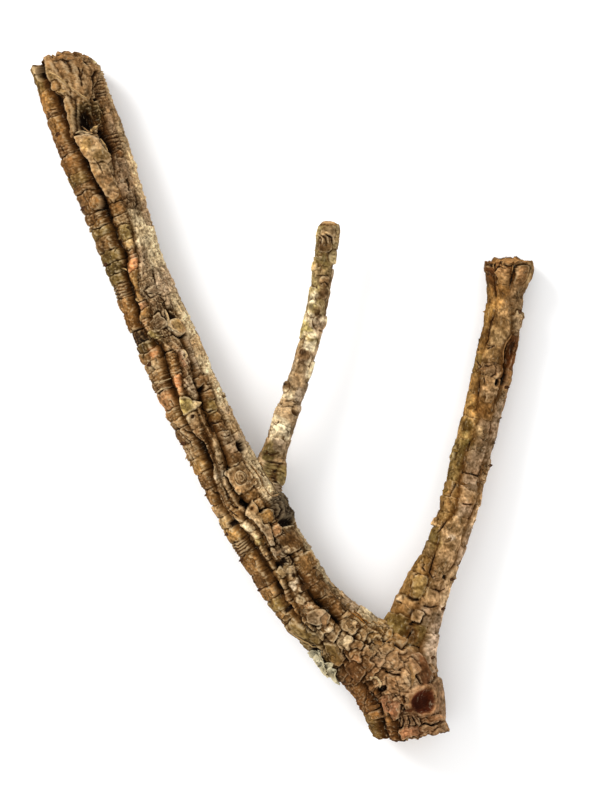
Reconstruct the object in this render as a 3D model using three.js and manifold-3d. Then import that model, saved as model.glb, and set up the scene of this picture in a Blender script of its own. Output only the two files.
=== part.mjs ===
// A fallen, forked branch of a corky-barked tree, lying on its back on level ground.
// One thick limb curves from its broken top down to its butt. A side limb forks off at the butt
// and a thin twig forks off half way along. The three are one growth, split here at the two forks.
// Millimetres, +Z up. +X is to the right and +Y towards the tips, seen from above.
import * as THREE from "three";
import { mergeVertices } from "three/addons/utils/BufferGeometryUtils.js";
import Module from "manifold-3d";

const wasm = await Module();
wasm.setup();

// Each limb is given from its tip to its root.
// A station is [x, y, z, half width, half depth] of the bark's crowns.
const MAIN_STATIONS = [
  [-200, 308, 26, 29.6, 27.5], [-189, 278, 26, 30.1, 28], [-175, 238, 27, 30.6, 28],
  [-160, 197, 28, 29.8, 27.5], [-142, 147, 30, 26.5, 25.5], [-122, 94, 32, 25.6, 25],
  [-103, 49, 34, 27.6, 26.5], [-81.4, 1, 36, 26.9, 26], [-56.5, -50, 37, 26.5, 26],
  [-30.5, -100, 37, 28.2, 27], [-3.6, -144, 36.5, 28.9, 28], [25.8, -188, 35, 28.5, 29],
  [62.8, -221, 33, 31.5, 32], [99.4, -255, 31.5, 36.8, 33.5], [117.5, -306, 31, 33, 33],
];
const SIDE_STATIONS = [
  [205, 124, 19.5, 20.8, 20.5], [205, 112, 19.5, 21.8, 21], [202.3, 96, 20, 17.2, 17],
  [200.3, 76, 20.5, 16.6, 16.5], [193.6, 37, 22, 17.6, 16.5], [182.4, -7, 24, 17, 16],
  [171, -52, 26, 17.4, 16.5], [160.8, -93, 28, 17, 16.5], [148, -133, 30, 16.8, 17],
  [131.5, -169, 32, 19.8, 18.5], [116.5, -210, 34, 24.5, 21], [110, -255, 34, 26, 22],
];
const TWIG_STATIONS = [
  [42, 156, 36, 9, 8.8], [41.8, 147, 36, 10.4, 10], [39.8, 132, 36, 10, 9.6],
  [37, 116, 36, 9.1, 8.8], [34.6, 98, 36, 9.3, 8.8], [31, 78, 36, 9.2, 8.8],
  [26.6, 58, 35.5, 9.4, 8.8], [22, 40, 35.5, 8.9, 8.8], [17, 21, 35, 9.5, 8.8],
  [10.3, 2, 35, 9.1, 9], [4, -16, 34.5, 10.3, 9.8], [-2.5, -36, 34, 10.9, 10.4],
  [-9, -59, 33, 12, 11.4], [-15, -85, 32, 13, 12],
];

// Furrows part the bark into long strips. On the upper face a furrow is a line of [x, y, depth];
// on the rest it is an angle round the limb: 0 faces up, 90 right and -90 left.
const MAIN_FURROWS = [
  { angle: -142, wander: 9, depth: 3.5 },
  { angle: -95, wander: 6, depth: 3 },
  {
    line: [
      [-218, 298, 7], [-212, 281, 7], [-203, 269, 6], [-193, 249, 6], [-185, 226, 6],
      [-171, 195, 6], [-158, 164, 6], [-147, 139, 6], [-140, 116, 5], [-134, 92, 5],
      [-128, 64, 4], [-117, 51, 3], [-106, 42, 5], [-101, 22, 5], [-92, -4, 4.5],
      [-81, -28, 3], [-70, -50, 5], [-63, -75, 2], [-56, -95, 3], [-40, -112, 5],
      [-23, -137, 5.5], [-5, -167, 5], [6, -191, 4], [23, -215, 2], [48, -240, 2],
      [70, -264, 4], [88, -292, 5],
    ],
  },
  {
    line: [
      [-182, 303, 1.5], [-175, 272, 2], [-169, 248, 2], [-158, 229, 4], [-149, 213, 3],
      [-139, 186, 1.5], [-126, 141, 1], [-118, 87, 1], [-112, 60, 1.5], [-99, 42, 2.5],
      [-87, 11, 2.5], [-79, -16, 2], [-65, -43, 3], [-54, -75, 1.5], [-40, -99, 2],
      [-27, -115, 3], [-13, -136, 3], [3, -162, 3], [14, -184, 3], [27, -206, 2],
      [52, -230, 2], [77, -255, 2], [102, -292, 3],
    ],
  },
  {
    line: [
      [-168, 300, 2], [-162, 267, 3], [-156, 236, 5], [-144, 213, 2], [-130, 180, 0.8],
      [-117, 122, 0.8], [-104, 82, 2], [-98, 67, 4], [-90, 53, 4], [-80, 32, 2],
      [-74, 15, 5], [-70, -4, 5], [-58, -32, 5], [-48, -61, 5], [-38, -86, 4],
      [-22, -101, 4], [-10, -114, 3], [4, -135, 2], [16, -158, 5], [22, -169, 4],
      [37, -185, 5], [50, -201, 5], [57, -211, 4], [76, -226, 2], [99, -250, 2],
      [117, -291, 4],
    ],
  },
  {
    line: [
      [-164, 291, 1.5], [-142, 218, 2], [-119, 143, 1.5], [-97, 84, 2], [-83, 56, 1.5],
      [-69, 29, 2], [-55, -3, 2], [-43, -30, 2], [-32, -53, 2], [-18, -76, 1.5],
      [-2, -106, 2], [14, -134, 2], [34, -163, 2], [57, -186, 2], [81, -206, 2],
      [106, -232, 2], [129, -264, 3], [140, -295, 3],
    ],
  },
  { angle: 98, wander: 6, depth: 2.5 },
  { angle: 136, wander: 7, depth: 3.5 },
  { angle: 178, wander: 9, depth: 3 },
];
const SIDE_FURROWS = [
  { angle: -118, wander: 10, depth: 1.8 },
  { angle: -42, wander: 12, depth: 1.6 },
  { angle: 24, wander: 12, depth: 1.2 },
  { angle: 92, wander: 12, depth: 1.8 },
  { angle: 168, wander: 12, depth: 2 },
];
const TWIG_FURROWS = [
  { angle: -120, wander: 15, depth: 0.4 },
  { angle: -30, wander: 15, depth: 0.3 },
  { angle: 60, wander: 15, depth: 0.4 },
  { angle: 150, wander: 15, depth: 0.4 },
];
const WANDER_EVERY = 55; // mm of limb to each radian of a furrow's wander
const LEAST_STRIP = 11; // degrees between two furrows

// The ends: how far each rim is cut back at its left, right, upper and lower side.
// dish is how far the middle of the cut sinks, or stands out where it is negative.
const MAIN_TOP = { left: 3, right: 20, upper: 2, lower: 3, dish: 1.5 };
const MAIN_BUTT = { left: 12, right: -4, upper: 3, lower: 4, dish: 3 };
const SIDE_TIP = { left: 2, right: 2, upper: 4, lower: -4, dish: 1 };
const TWIG_TIP = { left: 3, right: 1, upper: 3, lower: 1, dish: -1.5 };
const HIDDEN_ROOT = { left: 0, right: 0, upper: 0, lower: 0, dish: 0 };
const END_REACH = 60; // mm of limb over which a slanted end straightens out
const CAP_RING = 0.6; // share of the radius where the ends have their inner ring

// Blocks: each strip is cracked across into blocks, which meet at grooves.
const MAIN_BLOCKS = 32;
const SIDE_BLOCKS = 14;
const TWIG_BLOCKS = 8;
const BLOCK_RINGS = [0, 0.22, 0.78]; // where a block's groove and its two crown rings lie
const STRIP_COLUMNS = [0, 0.3, 0.7]; // where a strip's furrow and its two crown columns lie
const GROOVE_JITTER = 0.9; // share of a block by which its ends move

const BUTT_GAP = 0.35; // mm between the pieces at a fork

const BARK_BROWN = 0x8a6b45;
const SIDE_BROWN = 0x93734d;
const TWIG_GREY = 0x9a8a66;
const UP = new THREE.Vector3(0, 0, 1);
const RIGHT_ANGLE = Math.PI / 2;

const degrees = THREE.MathUtils.degToRad;
const clamp = THREE.MathUtils.clamp;

// The same number from 0 to 1 for the same pair, so that the bark is the same each time.
function chance(i, j) {
  const n = Math.sin(i * 12.9898 + j * 78.233) * 43758.5453;
  return n - Math.floor(n);
}

// A limb's axis and girth at any distance s from its tip.
function limbAlong(stations) {
  const axis = new THREE.CatmullRomCurve3(
    stations.map(([x, y, z]) => new THREE.Vector3(x, y, z)), false, "catmullrom");
  const girth = new THREE.SplineCurve(stations.map(([, , , a, b]) => new THREE.Vector2(a, b)));
  const steps = (stations.length - 1) * 24;
  const marks = [];
  let s = 0;
  for (let i = 0; i <= steps; i++) {
    const point = axis.getPoint(i / steps);
    if (i) s += point.distanceTo(marks[i - 1].point);
    marks.push({ s, point, girth: girth.getPoint(i / steps) });
  }
  const length = s;
  const at = (wanted) => {
    let i = marks.findIndex((mark) => mark.s >= wanted);
    if (i < 0) i = marks.length - 1;
    i = Math.max(i, 1);
    const [from, to] = [marks[i - 1], marks[i]];
    const share = (wanted - from.s) / (to.s - from.s);
    const along = to.point.clone().sub(from.point).normalize();
    const right = UP.clone().cross(along).normalize();
    return {
      centre: from.point.clone().lerp(to.point, share),
      right,
      upper: along.clone().cross(right),
      along,
      halfWidth: THREE.MathUtils.lerp(from.girth.x, to.girth.x, clamp(share, 0, 1)),
      halfDepth: THREE.MathUtils.lerp(from.girth.y, to.girth.y, clamp(share, 0, 1)),
    };
  };
  return { marks, length, at };
}

// The place on the limb under a point of its upper face: distance from the tip, and angle round it.
function placeUnder(limb, x, y) {
  let best = limb.marks[0];
  for (const mark of limb.marks) {
    if (Math.hypot(mark.point.x - x, mark.point.y - y) <
        Math.hypot(best.point.x - x, best.point.y - y)) best = mark;
  }
  const { centre, right, halfWidth } = limb.at(best.s);
  const across = ((x - centre.x) * right.x + (y - centre.y) * right.y) / halfWidth;
  return { s: best.s, angle: Math.asin(clamp(across, -0.97, 0.97)) };
}

// Straight-line reading of [s, value] pairs, level beyond both ends.
function read(pairs, s) {
  const last = pairs[pairs.length - 1];
  if (s <= pairs[0][0]) return pairs[0][1];
  if (s >= last[0]) return last[1];
  const i = pairs.findIndex(([at]) => at > s);
  const [[s0, v0], [s1, v1]] = [pairs[i - 1], pairs[i]];
  return v0 + ((v1 - v0) * (s - s0)) / (s1 - s0);
}

// Each furrow as functions of s: its angle and its depth.
function furrowsOf(limb, list) {
  return list.map((furrow, k) => {
    if (!furrow.line) {
      return {
        angle: (s) => degrees(furrow.angle + furrow.wander * Math.sin(s / WANDER_EVERY + k)),
        depth: (s) => furrow.depth * (0.7 + 0.3 * Math.sin(s / 23 + 2 * k)),
      };
    }
    const places = furrow.line.map(([x, y, depth]) => ({ ...placeUnder(limb, x, y), depth }));
    places.sort((p, q) => p.s - q.s);
    return {
      angle: (s) => read(places.map((p) => [p.s, p.angle]), s),
      depth: (s) => read(places.map((p) => [p.s, p.depth]), s),
    };
  });
}

// The furrows' angles at s, in order round the limb and no nearer than LEAST_STRIP.
function parted(furrows, s) {
  const angles = furrows.map((furrow) => furrow.angle(s));
  for (let k = 1; k < angles.length; k++) {
    angles[k] = Math.max(angles[k], angles[k - 1] + degrees(LEAST_STRIP));
  }
  return angles;
}

// The far edge of block m of strip k, in blocks. The limb's own ends stay put.
function blockEdge(k, m, blocks) {
  if (m <= 0 || m >= blocks) return clamp(m, 0, blocks);
  return m + (chance(k, m) - 0.5) * GROOVE_JITTER;
}

// How far a slanted end is cut back at a point across it, v to the right and w up, -1 to 1.
function cutBack(end, v, w) {
  const side = v < 0 ? end.left : end.right;
  const face = w < 0 ? end.lower : end.upper;
  return side * v * v + face * w * w;
}

// Distance from the tip, once the slants of both ends are let in.
function slanted(s, length, tip, root, v, w) {
  const fromTip = cutBack(tip, v, w) * Math.max(0, 1 - s / END_REACH);
  const fromRoot = cutBack(root, v, w) * Math.max(0, 1 - (length - s) / END_REACH);
  return s + fromTip - fromRoot;
}

// The closed bark surface of a limb: rings of blocks from tip to root, with a dished cap at each end.
function barkGeometry({ limb, furrows, blocks, tip, root, groove, rise, skin = 0 }) {
  const strips = furrows.length;
  const around = strips * STRIP_COLUMNS.length;
  const rings = blocks * BLOCK_RINGS.length;
  const positions = [];
  const put = (s, angle, reach, lift) => {
    const [v, w] = [Math.sin(angle) * reach, Math.cos(angle) * reach];
    const along = slanted(s, limb.length, tip, root, v, w);
    const f = limb.at(along);
    const point = f.centre.clone()
      .addScaledVector(f.right, v * f.halfWidth + Math.sin(angle) * lift)
      .addScaledVector(f.upper, w * f.halfDepth + Math.cos(angle) * lift);
    return { point, f };
  };
  const add = ({ point }) => positions.push(point.x, point.y, point.z);

  const blockLength = limb.length / blocks;
  const ringPlace = (k, i) => {
    const m = Math.floor(i / BLOCK_RINGS.length);
    const share = BLOCK_RINGS[i % BLOCK_RINGS.length];
    const [from, to] = [blockEdge(k, m, blocks), blockEdge(k, m + 1, blocks)];
    return (from + (to - from) * share) * blockLength;
  };
  for (let i = 0; i <= rings; i++) {
    for (let k = 0; k < strips; k++) {
      const before = (k + strips - 1) % strips;
      const m = Math.floor(i / BLOCK_RINGS.length);
      const inGroove = i % BLOCK_RINGS.length === 0;
      STRIP_COLUMNS.forEach((share) => {
        const inFurrow = share === 0;
        const own = ringPlace(k, i);
        const s = inFurrow ? (own + ringPlace(before, i)) / 2 : own;
        const angles = parted(furrows, s);
        const next = k + 1 < strips ? angles[k + 1] : angles[0] + 2 * Math.PI;
        const angle = angles[k] + (next - angles[k]) * share;
        const crown = (chance(k + 31, m) - 0.6) * rise;
        const crack = (0.25 + chance(k + 57, m) ** 2) * groove;
        const lift = inFurrow ? -furrows[k].depth(s) : inGroove ? -crack : crown;
        add(put(s, angle, 1, lift + skin));
      });
    }
  }
  // The caps: an inner ring and a middle point at each end.
  const capAt = (s, end, outward) => {
    for (let c = 0; c < around; c++) {
      const angle = (c / around) * 2 * Math.PI + parted(furrows, s)[0];
      const { point, f } = put(s, angle, CAP_RING, 0);
      add({ point: point.addScaledVector(f.along, -outward * (end.dish * 0.7 - skin)) });
    }
    const { point, f } = put(s, 0, 0, 0);
    add({ point: point.addScaledVector(f.along, -outward * (end.dish - skin)) });
  };
  capAt(0, tip, -1);
  capAt(limb.length, root, 1);

  const index = [];
  const wall = (i, c) => i * around + (c % around);
  for (let i = 0; i < rings; i++) {
    for (let c = 0; c < around; c++) {
      const [a, b] = [wall(i, c), wall(i, c + 1)];
      const [d, e] = [wall(i + 1, c), wall(i + 1, c + 1)];
      index.push(a, d, b, b, d, e);
    }
  }
  const caps = [[(rings + 1) * around, 0, false], [(rings + 2) * around + 1, rings, true]];
  for (const [inner, ring, turned] of caps) {
    for (let c = 0; c < around; c++) {
      const [a, b] = [wall(ring, c), wall(ring, c + 1)];
      const [d, e] = [inner + c, inner + ((c + 1) % around)];
      const faces = [[a, b, d], [b, e, d], [d, e, inner + around]];
      faces.forEach(([p, q, r]) => index.push(p, ...(turned ? [r, q] : [q, r])));
    }
  }
  return new THREE.BufferGeometry()
    .setAttribute("position", new THREE.Float32BufferAttribute(positions, 3))
    .setIndex(index);
}

// A geometry as a solid that can be joined and cut.
function solidOf(geometry) {
  geometry.deleteAttribute("normal");
  geometry.deleteAttribute("uv");
  const merged = mergeVertices(geometry, 1e-4);
  const solid = new wasm.Manifold(new wasm.Mesh({
    numProp: 3,
    vertProperties: merged.attributes.position.array,
    triVerts: new Uint32Array(merged.index.array),
  }));
  return solid;
}

// A solid as a named mesh.
function meshOf(solid, name, colour) {
  const { vertProperties, triVerts } = solid.getMesh();
  const geometry = new THREE.BufferGeometry()
    .setAttribute("position", new THREE.Float32BufferAttribute(vertProperties, 3))
    .setIndex(new THREE.BufferAttribute(triVerts, 1));
  geometry.computeVertexNormals();
  const material = new THREE.MeshStandardMaterial({ color: colour, roughness: 0.95, metalness: 0 });
  const mesh = new THREE.Mesh(geometry, material);
  mesh.name = name;
  return mesh;
}

// The frame of the bark's surface at an angle round the limb: its point and the way it faces.
function surfaceAt(limb, s, angle) {
  const f = limb.at(s);
  const [v, w] = [Math.sin(angle), Math.cos(angle)];
  const out = f.right.clone().multiplyScalar(v).addScaledVector(f.upper, w).normalize();
  const point = f.centre.clone()
    .addScaledVector(f.right, v * f.halfWidth)
    .addScaledVector(f.upper, w * f.halfDepth);
  return { point, out, along: f.along };
}

function surfaceUnder(limb, x, y) {
  const { s, angle } = placeUnder(limb, x, y);
  return surfaceAt(limb, s, angle);
}

// A knot or burl: a rough ball, squashed against the bark. size is [along, across, out].
function knob(place, size, sink = 0) {
  const ball = new THREE.IcosahedronGeometry(1, 1);
  const across = place.out.clone().cross(place.along).normalize();
  const turn = new THREE.Matrix4().makeBasis(
    place.along.clone().multiplyScalar(size[0]),
    across.multiplyScalar(size[1]),
    place.out.clone().multiplyScalar(size[2]),
  );
  turn.setPosition(place.point.clone().addScaledVector(place.out, -sink));
  return ball.applyMatrix4(turn);
}

function joined(solid, places) {
  return places.reduce((sum, { place, size, sink }) => sum.add(solidOf(knob(place, size, sink))), solid);
}

function pitted(solid, places) {
  return places.reduce((rest, { place, size, sink }) => rest.subtract(solidOf(knob(place, size, sink))), solid);
}

// The largest body of a solid that a cut has left in pieces.
function largest(solid) {
  return solid.decompose().reduce((big, body) => (body.volume() > big.volume() ? body : big));
}

// Everything below the ground, to take off what would sink into it.
function underGround() {
  const slab = new THREE.BoxGeometry(900, 900, 60);
  slab.translate(0, 0, -30);
  return solidOf(slab);
}

const mainLimb = limbAlong(MAIN_STATIONS);
const sideLimb = limbAlong(SIDE_STATIONS);
const twigLimb = limbAlong(TWIG_STATIONS);

const mainShape = {
  limb: mainLimb, furrows: furrowsOf(mainLimb, MAIN_FURROWS), blocks: MAIN_BLOCKS,
  tip: MAIN_TOP, root: MAIN_BUTT, groove: 2.6, rise: 2.2,
};
const sideShape = {
  limb: sideLimb, furrows: furrowsOf(sideLimb, SIDE_FURROWS), blocks: SIDE_BLOCKS,
  tip: SIDE_TIP, root: HIDDEN_ROOT, groove: 1.1, rise: 1.4,
};
const twigShape = {
  limb: twigLimb, furrows: furrowsOf(twigLimb, TWIG_FURROWS), blocks: TWIG_BLOCKS,
  tip: TWIG_TIP, root: HIDDEN_ROOT, groove: 0.4, rise: 0.8,
};

// The main limb, with its burl, its knots, a flake of lichened bark, and its holes.
const mainKnobs = [
  { place: surfaceAt(mainLimb, 450, degrees(74)), size: [17, 13, 9], sink: 2 },
  { place: surfaceUnder(mainLimb, 133, -273), size: [18, 17, 12], sink: 3 },
  { place: surfaceUnder(mainLimb, -166, 262), size: [15, 12, 6], sink: 3 },
  { place: surfaceUnder(mainLimb, -165, 212), size: [24, 11, 7], sink: 2.5 },
  { place: surfaceAt(mainLimb, 588, degrees(-84)), size: [20, 10, 6], sink: 1 },
];
const mainPits = [
  { place: surfaceUnder(mainLimb, -171, 250), size: [10, 7.5, 11], sink: 0 },
  { place: surfaceUnder(mainLimb, 128, -273), size: [9, 8, 14], sink: -2 },
  { place: surfaceUnder(mainLimb, -36, -41), size: [5, 3, 6], sink: 0 },
];
// The whole limb grown outwards by a thickness of skin, before its holes are sunk.
function mainGrown(skin) {
  const grown = mainKnobs.map((knot) => ({ ...knot, size: knot.size.map((reach) => reach + skin) }));
  return joined(solidOf(barkGeometry({ ...mainShape, skin })), grown);
}

const mainSkin = mainGrown(BUTT_GAP);
const main = largest(pitted(mainGrown(0), mainPits).subtract(underGround()));

// The side limb, with a slit where its bark has split, and a small bored hole.
const sidePits = [
  { place: surfaceUnder(sideLimb, 197, 13), size: [13, 4, 6], sink: 0 },
  { place: surfaceUnder(sideLimb, 144, -163), size: [3.5, 3.5, 5], sink: 0 },
];
const sideKnobs = [
  { place: surfaceAt(sideLimb, 108, degrees(75)), size: [12, 9, 5], sink: 2.5 },
  { place: surfaceAt(sideLimb, 192, degrees(78)), size: [11, 8, 5], sink: 2.5 },
  { place: surfaceAt(sideLimb, 245, degrees(-78)), size: [11, 8, 5], sink: 2.5 },
];
const sideBark = joined(solidOf(barkGeometry(sideShape)), sideKnobs);
const side = largest(pitted(sideBark, sidePits).subtract(mainSkin).subtract(underGround()));

// The twig, with the knots of its lost shoots and the collar at its root.
const twigKnobs = [
  { place: surfaceAt(twigLimb, 17, degrees(-10)), size: [8, 7, 4], sink: 1.5 },
  { place: surfaceAt(twigLimb, 44, degrees(-80)), size: [6, 5, 4.5], sink: 2 },
  { place: surfaceAt(twigLimb, 104, degrees(80)), size: [7, 6, 5], sink: 2.5 },
  { place: surfaceUnder(twigLimb, 3, 11), size: [6, 5, 5], sink: 1.5 },
  { place: surfaceAt(twigLimb, 232, degrees(70)), size: [11, 9, 6], sink: 2 },
];
const twig = largest(joined(solidOf(barkGeometry(twigShape)), twigKnobs).subtract(mainSkin));

const branch = new THREE.Group();
branch.add(meshOf(main, "main_limb", BARK_BROWN));
branch.add(meshOf(side, "side_limb", SIDE_BROWN));
branch.add(meshOf(twig, "twig", TWIG_GREY));

export default branch;
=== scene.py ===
import math

import bpy
import numpy as np
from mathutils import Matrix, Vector


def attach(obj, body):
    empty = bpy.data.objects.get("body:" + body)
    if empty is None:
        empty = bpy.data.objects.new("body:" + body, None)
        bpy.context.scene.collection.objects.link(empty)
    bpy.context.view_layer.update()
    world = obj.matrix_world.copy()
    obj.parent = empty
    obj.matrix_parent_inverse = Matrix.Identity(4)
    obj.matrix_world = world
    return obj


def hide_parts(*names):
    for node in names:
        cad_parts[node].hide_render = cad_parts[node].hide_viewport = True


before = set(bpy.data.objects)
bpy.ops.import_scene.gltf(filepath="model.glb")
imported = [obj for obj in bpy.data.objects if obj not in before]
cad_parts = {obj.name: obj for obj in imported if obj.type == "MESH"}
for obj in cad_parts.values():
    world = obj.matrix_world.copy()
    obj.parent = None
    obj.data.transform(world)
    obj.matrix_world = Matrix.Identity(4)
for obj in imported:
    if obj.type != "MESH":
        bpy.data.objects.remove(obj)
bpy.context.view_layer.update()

# The main limb: the thick, curved stem of the branch, in deep corky bark over its wood.
# The bark has burst into long strips, and each strip has cracked across into stacked blocks.
# It is drawn ring by ring from its broken top in millimetres, and its meshes are in metres.
MAIN_STATIONS = [  # x, y, z, half width, half depth
    (-200, 308, 26, 29.6, 27.5), (-189, 278, 26, 30.1, 28), (-175, 238, 27, 30.6, 28),
    (-160, 197, 28, 29.8, 27.5), (-142, 147, 30, 26.5, 25.5), (-122, 94, 32, 25.6, 25),
    (-103, 49, 34, 27.6, 26.5), (-81.4, 1, 36, 26.9, 26), (-56.5, -50, 37, 26.5, 26),
    (-30.5, -100, 37, 28.2, 27), (-3.6, -144, 36.5, 28.9, 28), (25.8, -188, 35, 28.5, 29),
    (62.8, -221, 33, 31.5, 32), (99.4, -255, 31.5, 36.8, 33.5), (117.5, -306, 31, 33, 33),
]

# Furrows between the strips: x, y and depth along the upper face, or an angle round the limb.
LEFT_FURROW = [
    (-218, 298, 9), (-212, 281, 9), (-203, 269, 9), (-194, 252, 9), (-186, 228, 9), (-177, 215, 9),
    (-172, 201, 9), (-167, 193, 9), (-163, 185, 8), (-158, 172, 8), (-153, 156, 8), (-149, 148, 8),
    (-146, 138, 8), (-141, 130, 8), (-139, 122, 8), (-140, 110, 7), (-137, 100, 8), (-134, 90, 8),
    (-130, 78, 8), (-129, 66, 7), (-121, 54, 5), (-108, 44, 7), (-105, 36, 8), (-102, 22, 7),
    (-98, 6, 7), (-92, -6, 6), (-88, -20, 5), (-81, -32, 5), (-71, -46, 8), (-65, -62, 7),
    (-62, -76, 4), (-56, -95, 5), (-43, -112, 7), (-33, -122, 6), (-25, -135, 7), (-17, -146, 6.5),
    (-7, -163, 7.5), (3, -186, 6.5), (14, -196, 5), (30, -214, 4), (50, -238, 5), (70, -256, 5),
    (86, -280, 7.5), (89, -296, 8),
]
MIDDLE_FURROW = [
    (-182, 303, 3), (-176, 280, 3), (-169, 262, 3), (-158, 232, 6), (-151, 217, 5), (-147, 192, 1.5),
    (-139, 170, 2), (-133, 152, 3), (-131, 138, 4), (-127, 122, 3), (-128, 106, 2), (-127, 92, 2),
    (-117, 80, 3), (-116, 66, 3), (-109, 56, 3), (-104, 50, 2), (-92, 36, 4), (-88, 20, 4), (-88, 8, 4),
    (-78, -6, 3), (-72, -22, 3), (-65, -40, 5), (-59, -58, 3), (-54, -75, 2), (-42, -97, 3),
    (-32, -107, 4), (-19, -120, 4.5), (-13, -133, 4.5), (-9, -144, 5), (3, -162, 4), (9, -178, 3),
    (17, -194, 3), (30, -206, 2), (52, -230, 3), (77, -255, 3), (102, -292, 5),
]
RIGHT_FURROW = [
    (-169, 300, 4), (-168, 284, 5), (-161, 262, 3), (-155, 234, 6), (-148, 216, 2), (-137, 190, 0.8),
    (-130, 176, 0.8), (-119, 122, 0.4), (-113, 104, 0.8), (-108, 88, 2), (-99, 74, 5), (-89, 53, 5),
    (-80, 32, 4), (-77, 18, 7), (-71, 4, 7), (-69, -10, 7), (-63, -24, 7), (-55, -38, 6), (-50, -52, 7),
    (-47, -66, 6), (-42, -84, 6), (-33, -94, 8), (-21, -103, 9), (-11, -114, 7), (-6, -126, 3),
    (6, -136, 3), (13, -144, 4), (15, -156, 5), (22, -168, 6), (30, -179, 8), (40, -186, 8),
    (49, -197, 8), (58, -208, 5), (76, -226, 3), (99, -250, 3), (117, -291, 5),
]
EDGE_FURROW = [
    (-160, 291, 2), (-144, 226, 1.5), (-128, 176, 0.5), (-119, 143, 0.5), (-97, 84, 0.8), (-84, 58, 1),
    (-76, 34, 1.5), (-61, 8, 2), (-57, -8, 3), (-48, -26, 3), (-39, -40, 3), (-33, -56, 3),
    (-29, -72, 3), (-16, -92, 3), (-8, -106, 4), (2, -118, 2), (22, -138, 2.5), (36, -160, 3),
    (48, -176, 3), (61, -190, 3), (82, -206, 2.5), (106, -232, 2.5), (129, -264, 3.5), (140, -295, 3.5),
]
MAIN_FURROWS = [
    (-142, 9, 6), (-95, 6, 5), LEFT_FURROW, MIDDLE_FURROW, RIGHT_FURROW, EDGE_FURROW, (98, 6, 4.5),
    (136, 7, 6), (178, 9, 6),
]
MAIN_COLUMNS = [16, 42, 36, 34, 38, 38, 12, 10, 10]  # points across each strip
MAIN_PARTS = 3
PART_RINGS = 400
MAIN_RADIUS = 27
LEAST_STRIP = math.radians(9)
WANDER_EVERY = 55  # mm along the limb
DEEPEN_EVERY = 23
FAR = 99.0  # mm, farther than any mark on the bark reaches
EVERYWHERE = slice(None)

# The tints of bark, from 0 to 255 a channel.
TINTS = {
    "gold": (186, 138, 74), "pale gold": (196, 160, 104), "ochre": (160, 116, 66),
    "brown": (132, 96, 60), "dark brown": (84, 56, 34), "red brown": (118, 72, 46),
    "olive": (140, 118, 66), "dark olive": (104, 90, 50), "olive yellow": (176, 156, 86),
    "tan": (174, 138, 94), "orange tan": (192, 138, 90), "orange": (232, 146, 88),
    "pink": (186, 132, 98), "cream": (216, 194, 152), "white": (236, 224, 198),
    "grey tan": (160, 134, 104), "grey pink": (180, 154, 124), "grey brown": (120, 96, 72),
    "black": (44, 30, 24), "moss": (56, 48, 22), "green": (150, 138, 62), "red": (110, 42, 30),
    "light tan": (192, 160, 116), "deep ochre": (140, 96, 48), "dark grey": (92, 76, 62),
    "lichen": (216, 204, 168), "deep olive": (84, 76, 44),
}


def limb_path(stations, steps=24):
    """Close-set points along a limb: distance from the tip, centre, half width and half depth."""
    rows = np.array(stations, float)
    rows = np.vstack([2 * rows[0] - rows[1], rows, 2 * rows[-1] - rows[-2]])
    t = np.linspace(0, 1, steps, endpoint=False)[:, None]
    runs = []
    for p0, p1, p2, p3 in zip(rows, rows[1:], rows[2:], rows[3:]):
        bend = (2 * p0 - 5 * p1 + 4 * p2 - p3) * t**2 + (3 * p1 - p0 - 3 * p2 + p3) * t**3
        runs.append(0.5 * (2 * p1 + (p2 - p0) * t + bend))
    path = np.vstack(runs + [rows[-2:-1]])
    step = np.linalg.norm(np.diff(path[:, :3], axis=0), axis=1)
    s = np.concatenate([[0], np.cumsum(step)])
    along = np.gradient(path[:, :3], s, axis=0)
    return {"s": s, "path": path, "along": along, "length": s[-1]}


def limb_at(limb, s):
    """Centre, direction, right, upper, half width and half depth of a limb at distances s."""
    def read(values):
        return np.stack([np.interp(s, limb["s"], values[:, i]) for i in range(values.shape[1])], -1)

    path = read(limb["path"])
    over = s - np.clip(s, 0, limb["length"])
    along = read(limb["along"])
    along /= np.linalg.norm(along, axis=-1, keepdims=True)
    right = np.cross([0, 0, 1], along)
    right /= np.linalg.norm(right, axis=-1, keepdims=True)
    upper = np.cross(along, right)
    return path[..., :3] + along * over[..., None], along, right, upper, path[..., 3], path[..., 4]


def place_under(limb, x, y):
    """Distance from the tip, angle round the limb and half width, at a point of its upper face."""
    nearest = np.argmin(np.hypot(limb["path"][:, 0] - x, limb["path"][:, 1] - y))
    s = limb["s"][nearest]
    for _ in range(2):
        centre, along, right, _, half_width, _ = limb_at(limb, np.array(float(s)))
        s += (x - centre[0]) * along[0] + (y - centre[1]) * along[1]
    across = ((x - centre[0]) * right[0] + (y - centre[1]) * right[1]) / half_width
    return s, math.asin(max(-0.97, min(0.97, across))), float(half_width)


def furrow_lines(limb, furrows, s):
    """Angle and depth of each furrow at distances s, kept in order round the limb."""
    angles, depths = [], []
    for k, furrow in enumerate(furrows):
        if isinstance(furrow, tuple):
            middle, wander, depth = furrow
            angles.append(np.radians(middle + wander * np.sin(s / WANDER_EVERY + k)))
            depths.append(depth * (0.7 + 0.3 * np.sin(s / DEEPEN_EVERY + 2 * k)))
            continue
        rows = sorted(place_under(limb, x, y)[:2] + (depth,) for x, y, depth in furrow)
        places, turns, sinks = zip(*rows)
        angles.append(np.interp(s, places, turns))
        depths.append(np.interp(s, places, sinks))
    for k in range(1, len(angles)):
        angles[k] = np.maximum(angles[k], angles[k - 1] + LEAST_STRIP)
    return np.array(angles), np.array(depths)


def hashed(i, j, seed):
    """The same number from 0 to 1 for the same whole numbers."""
    n = np.sin(i * 127.1 + j * 311.7 + seed * 74.7) * 43758.5453
    return n - np.floor(n)


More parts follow.
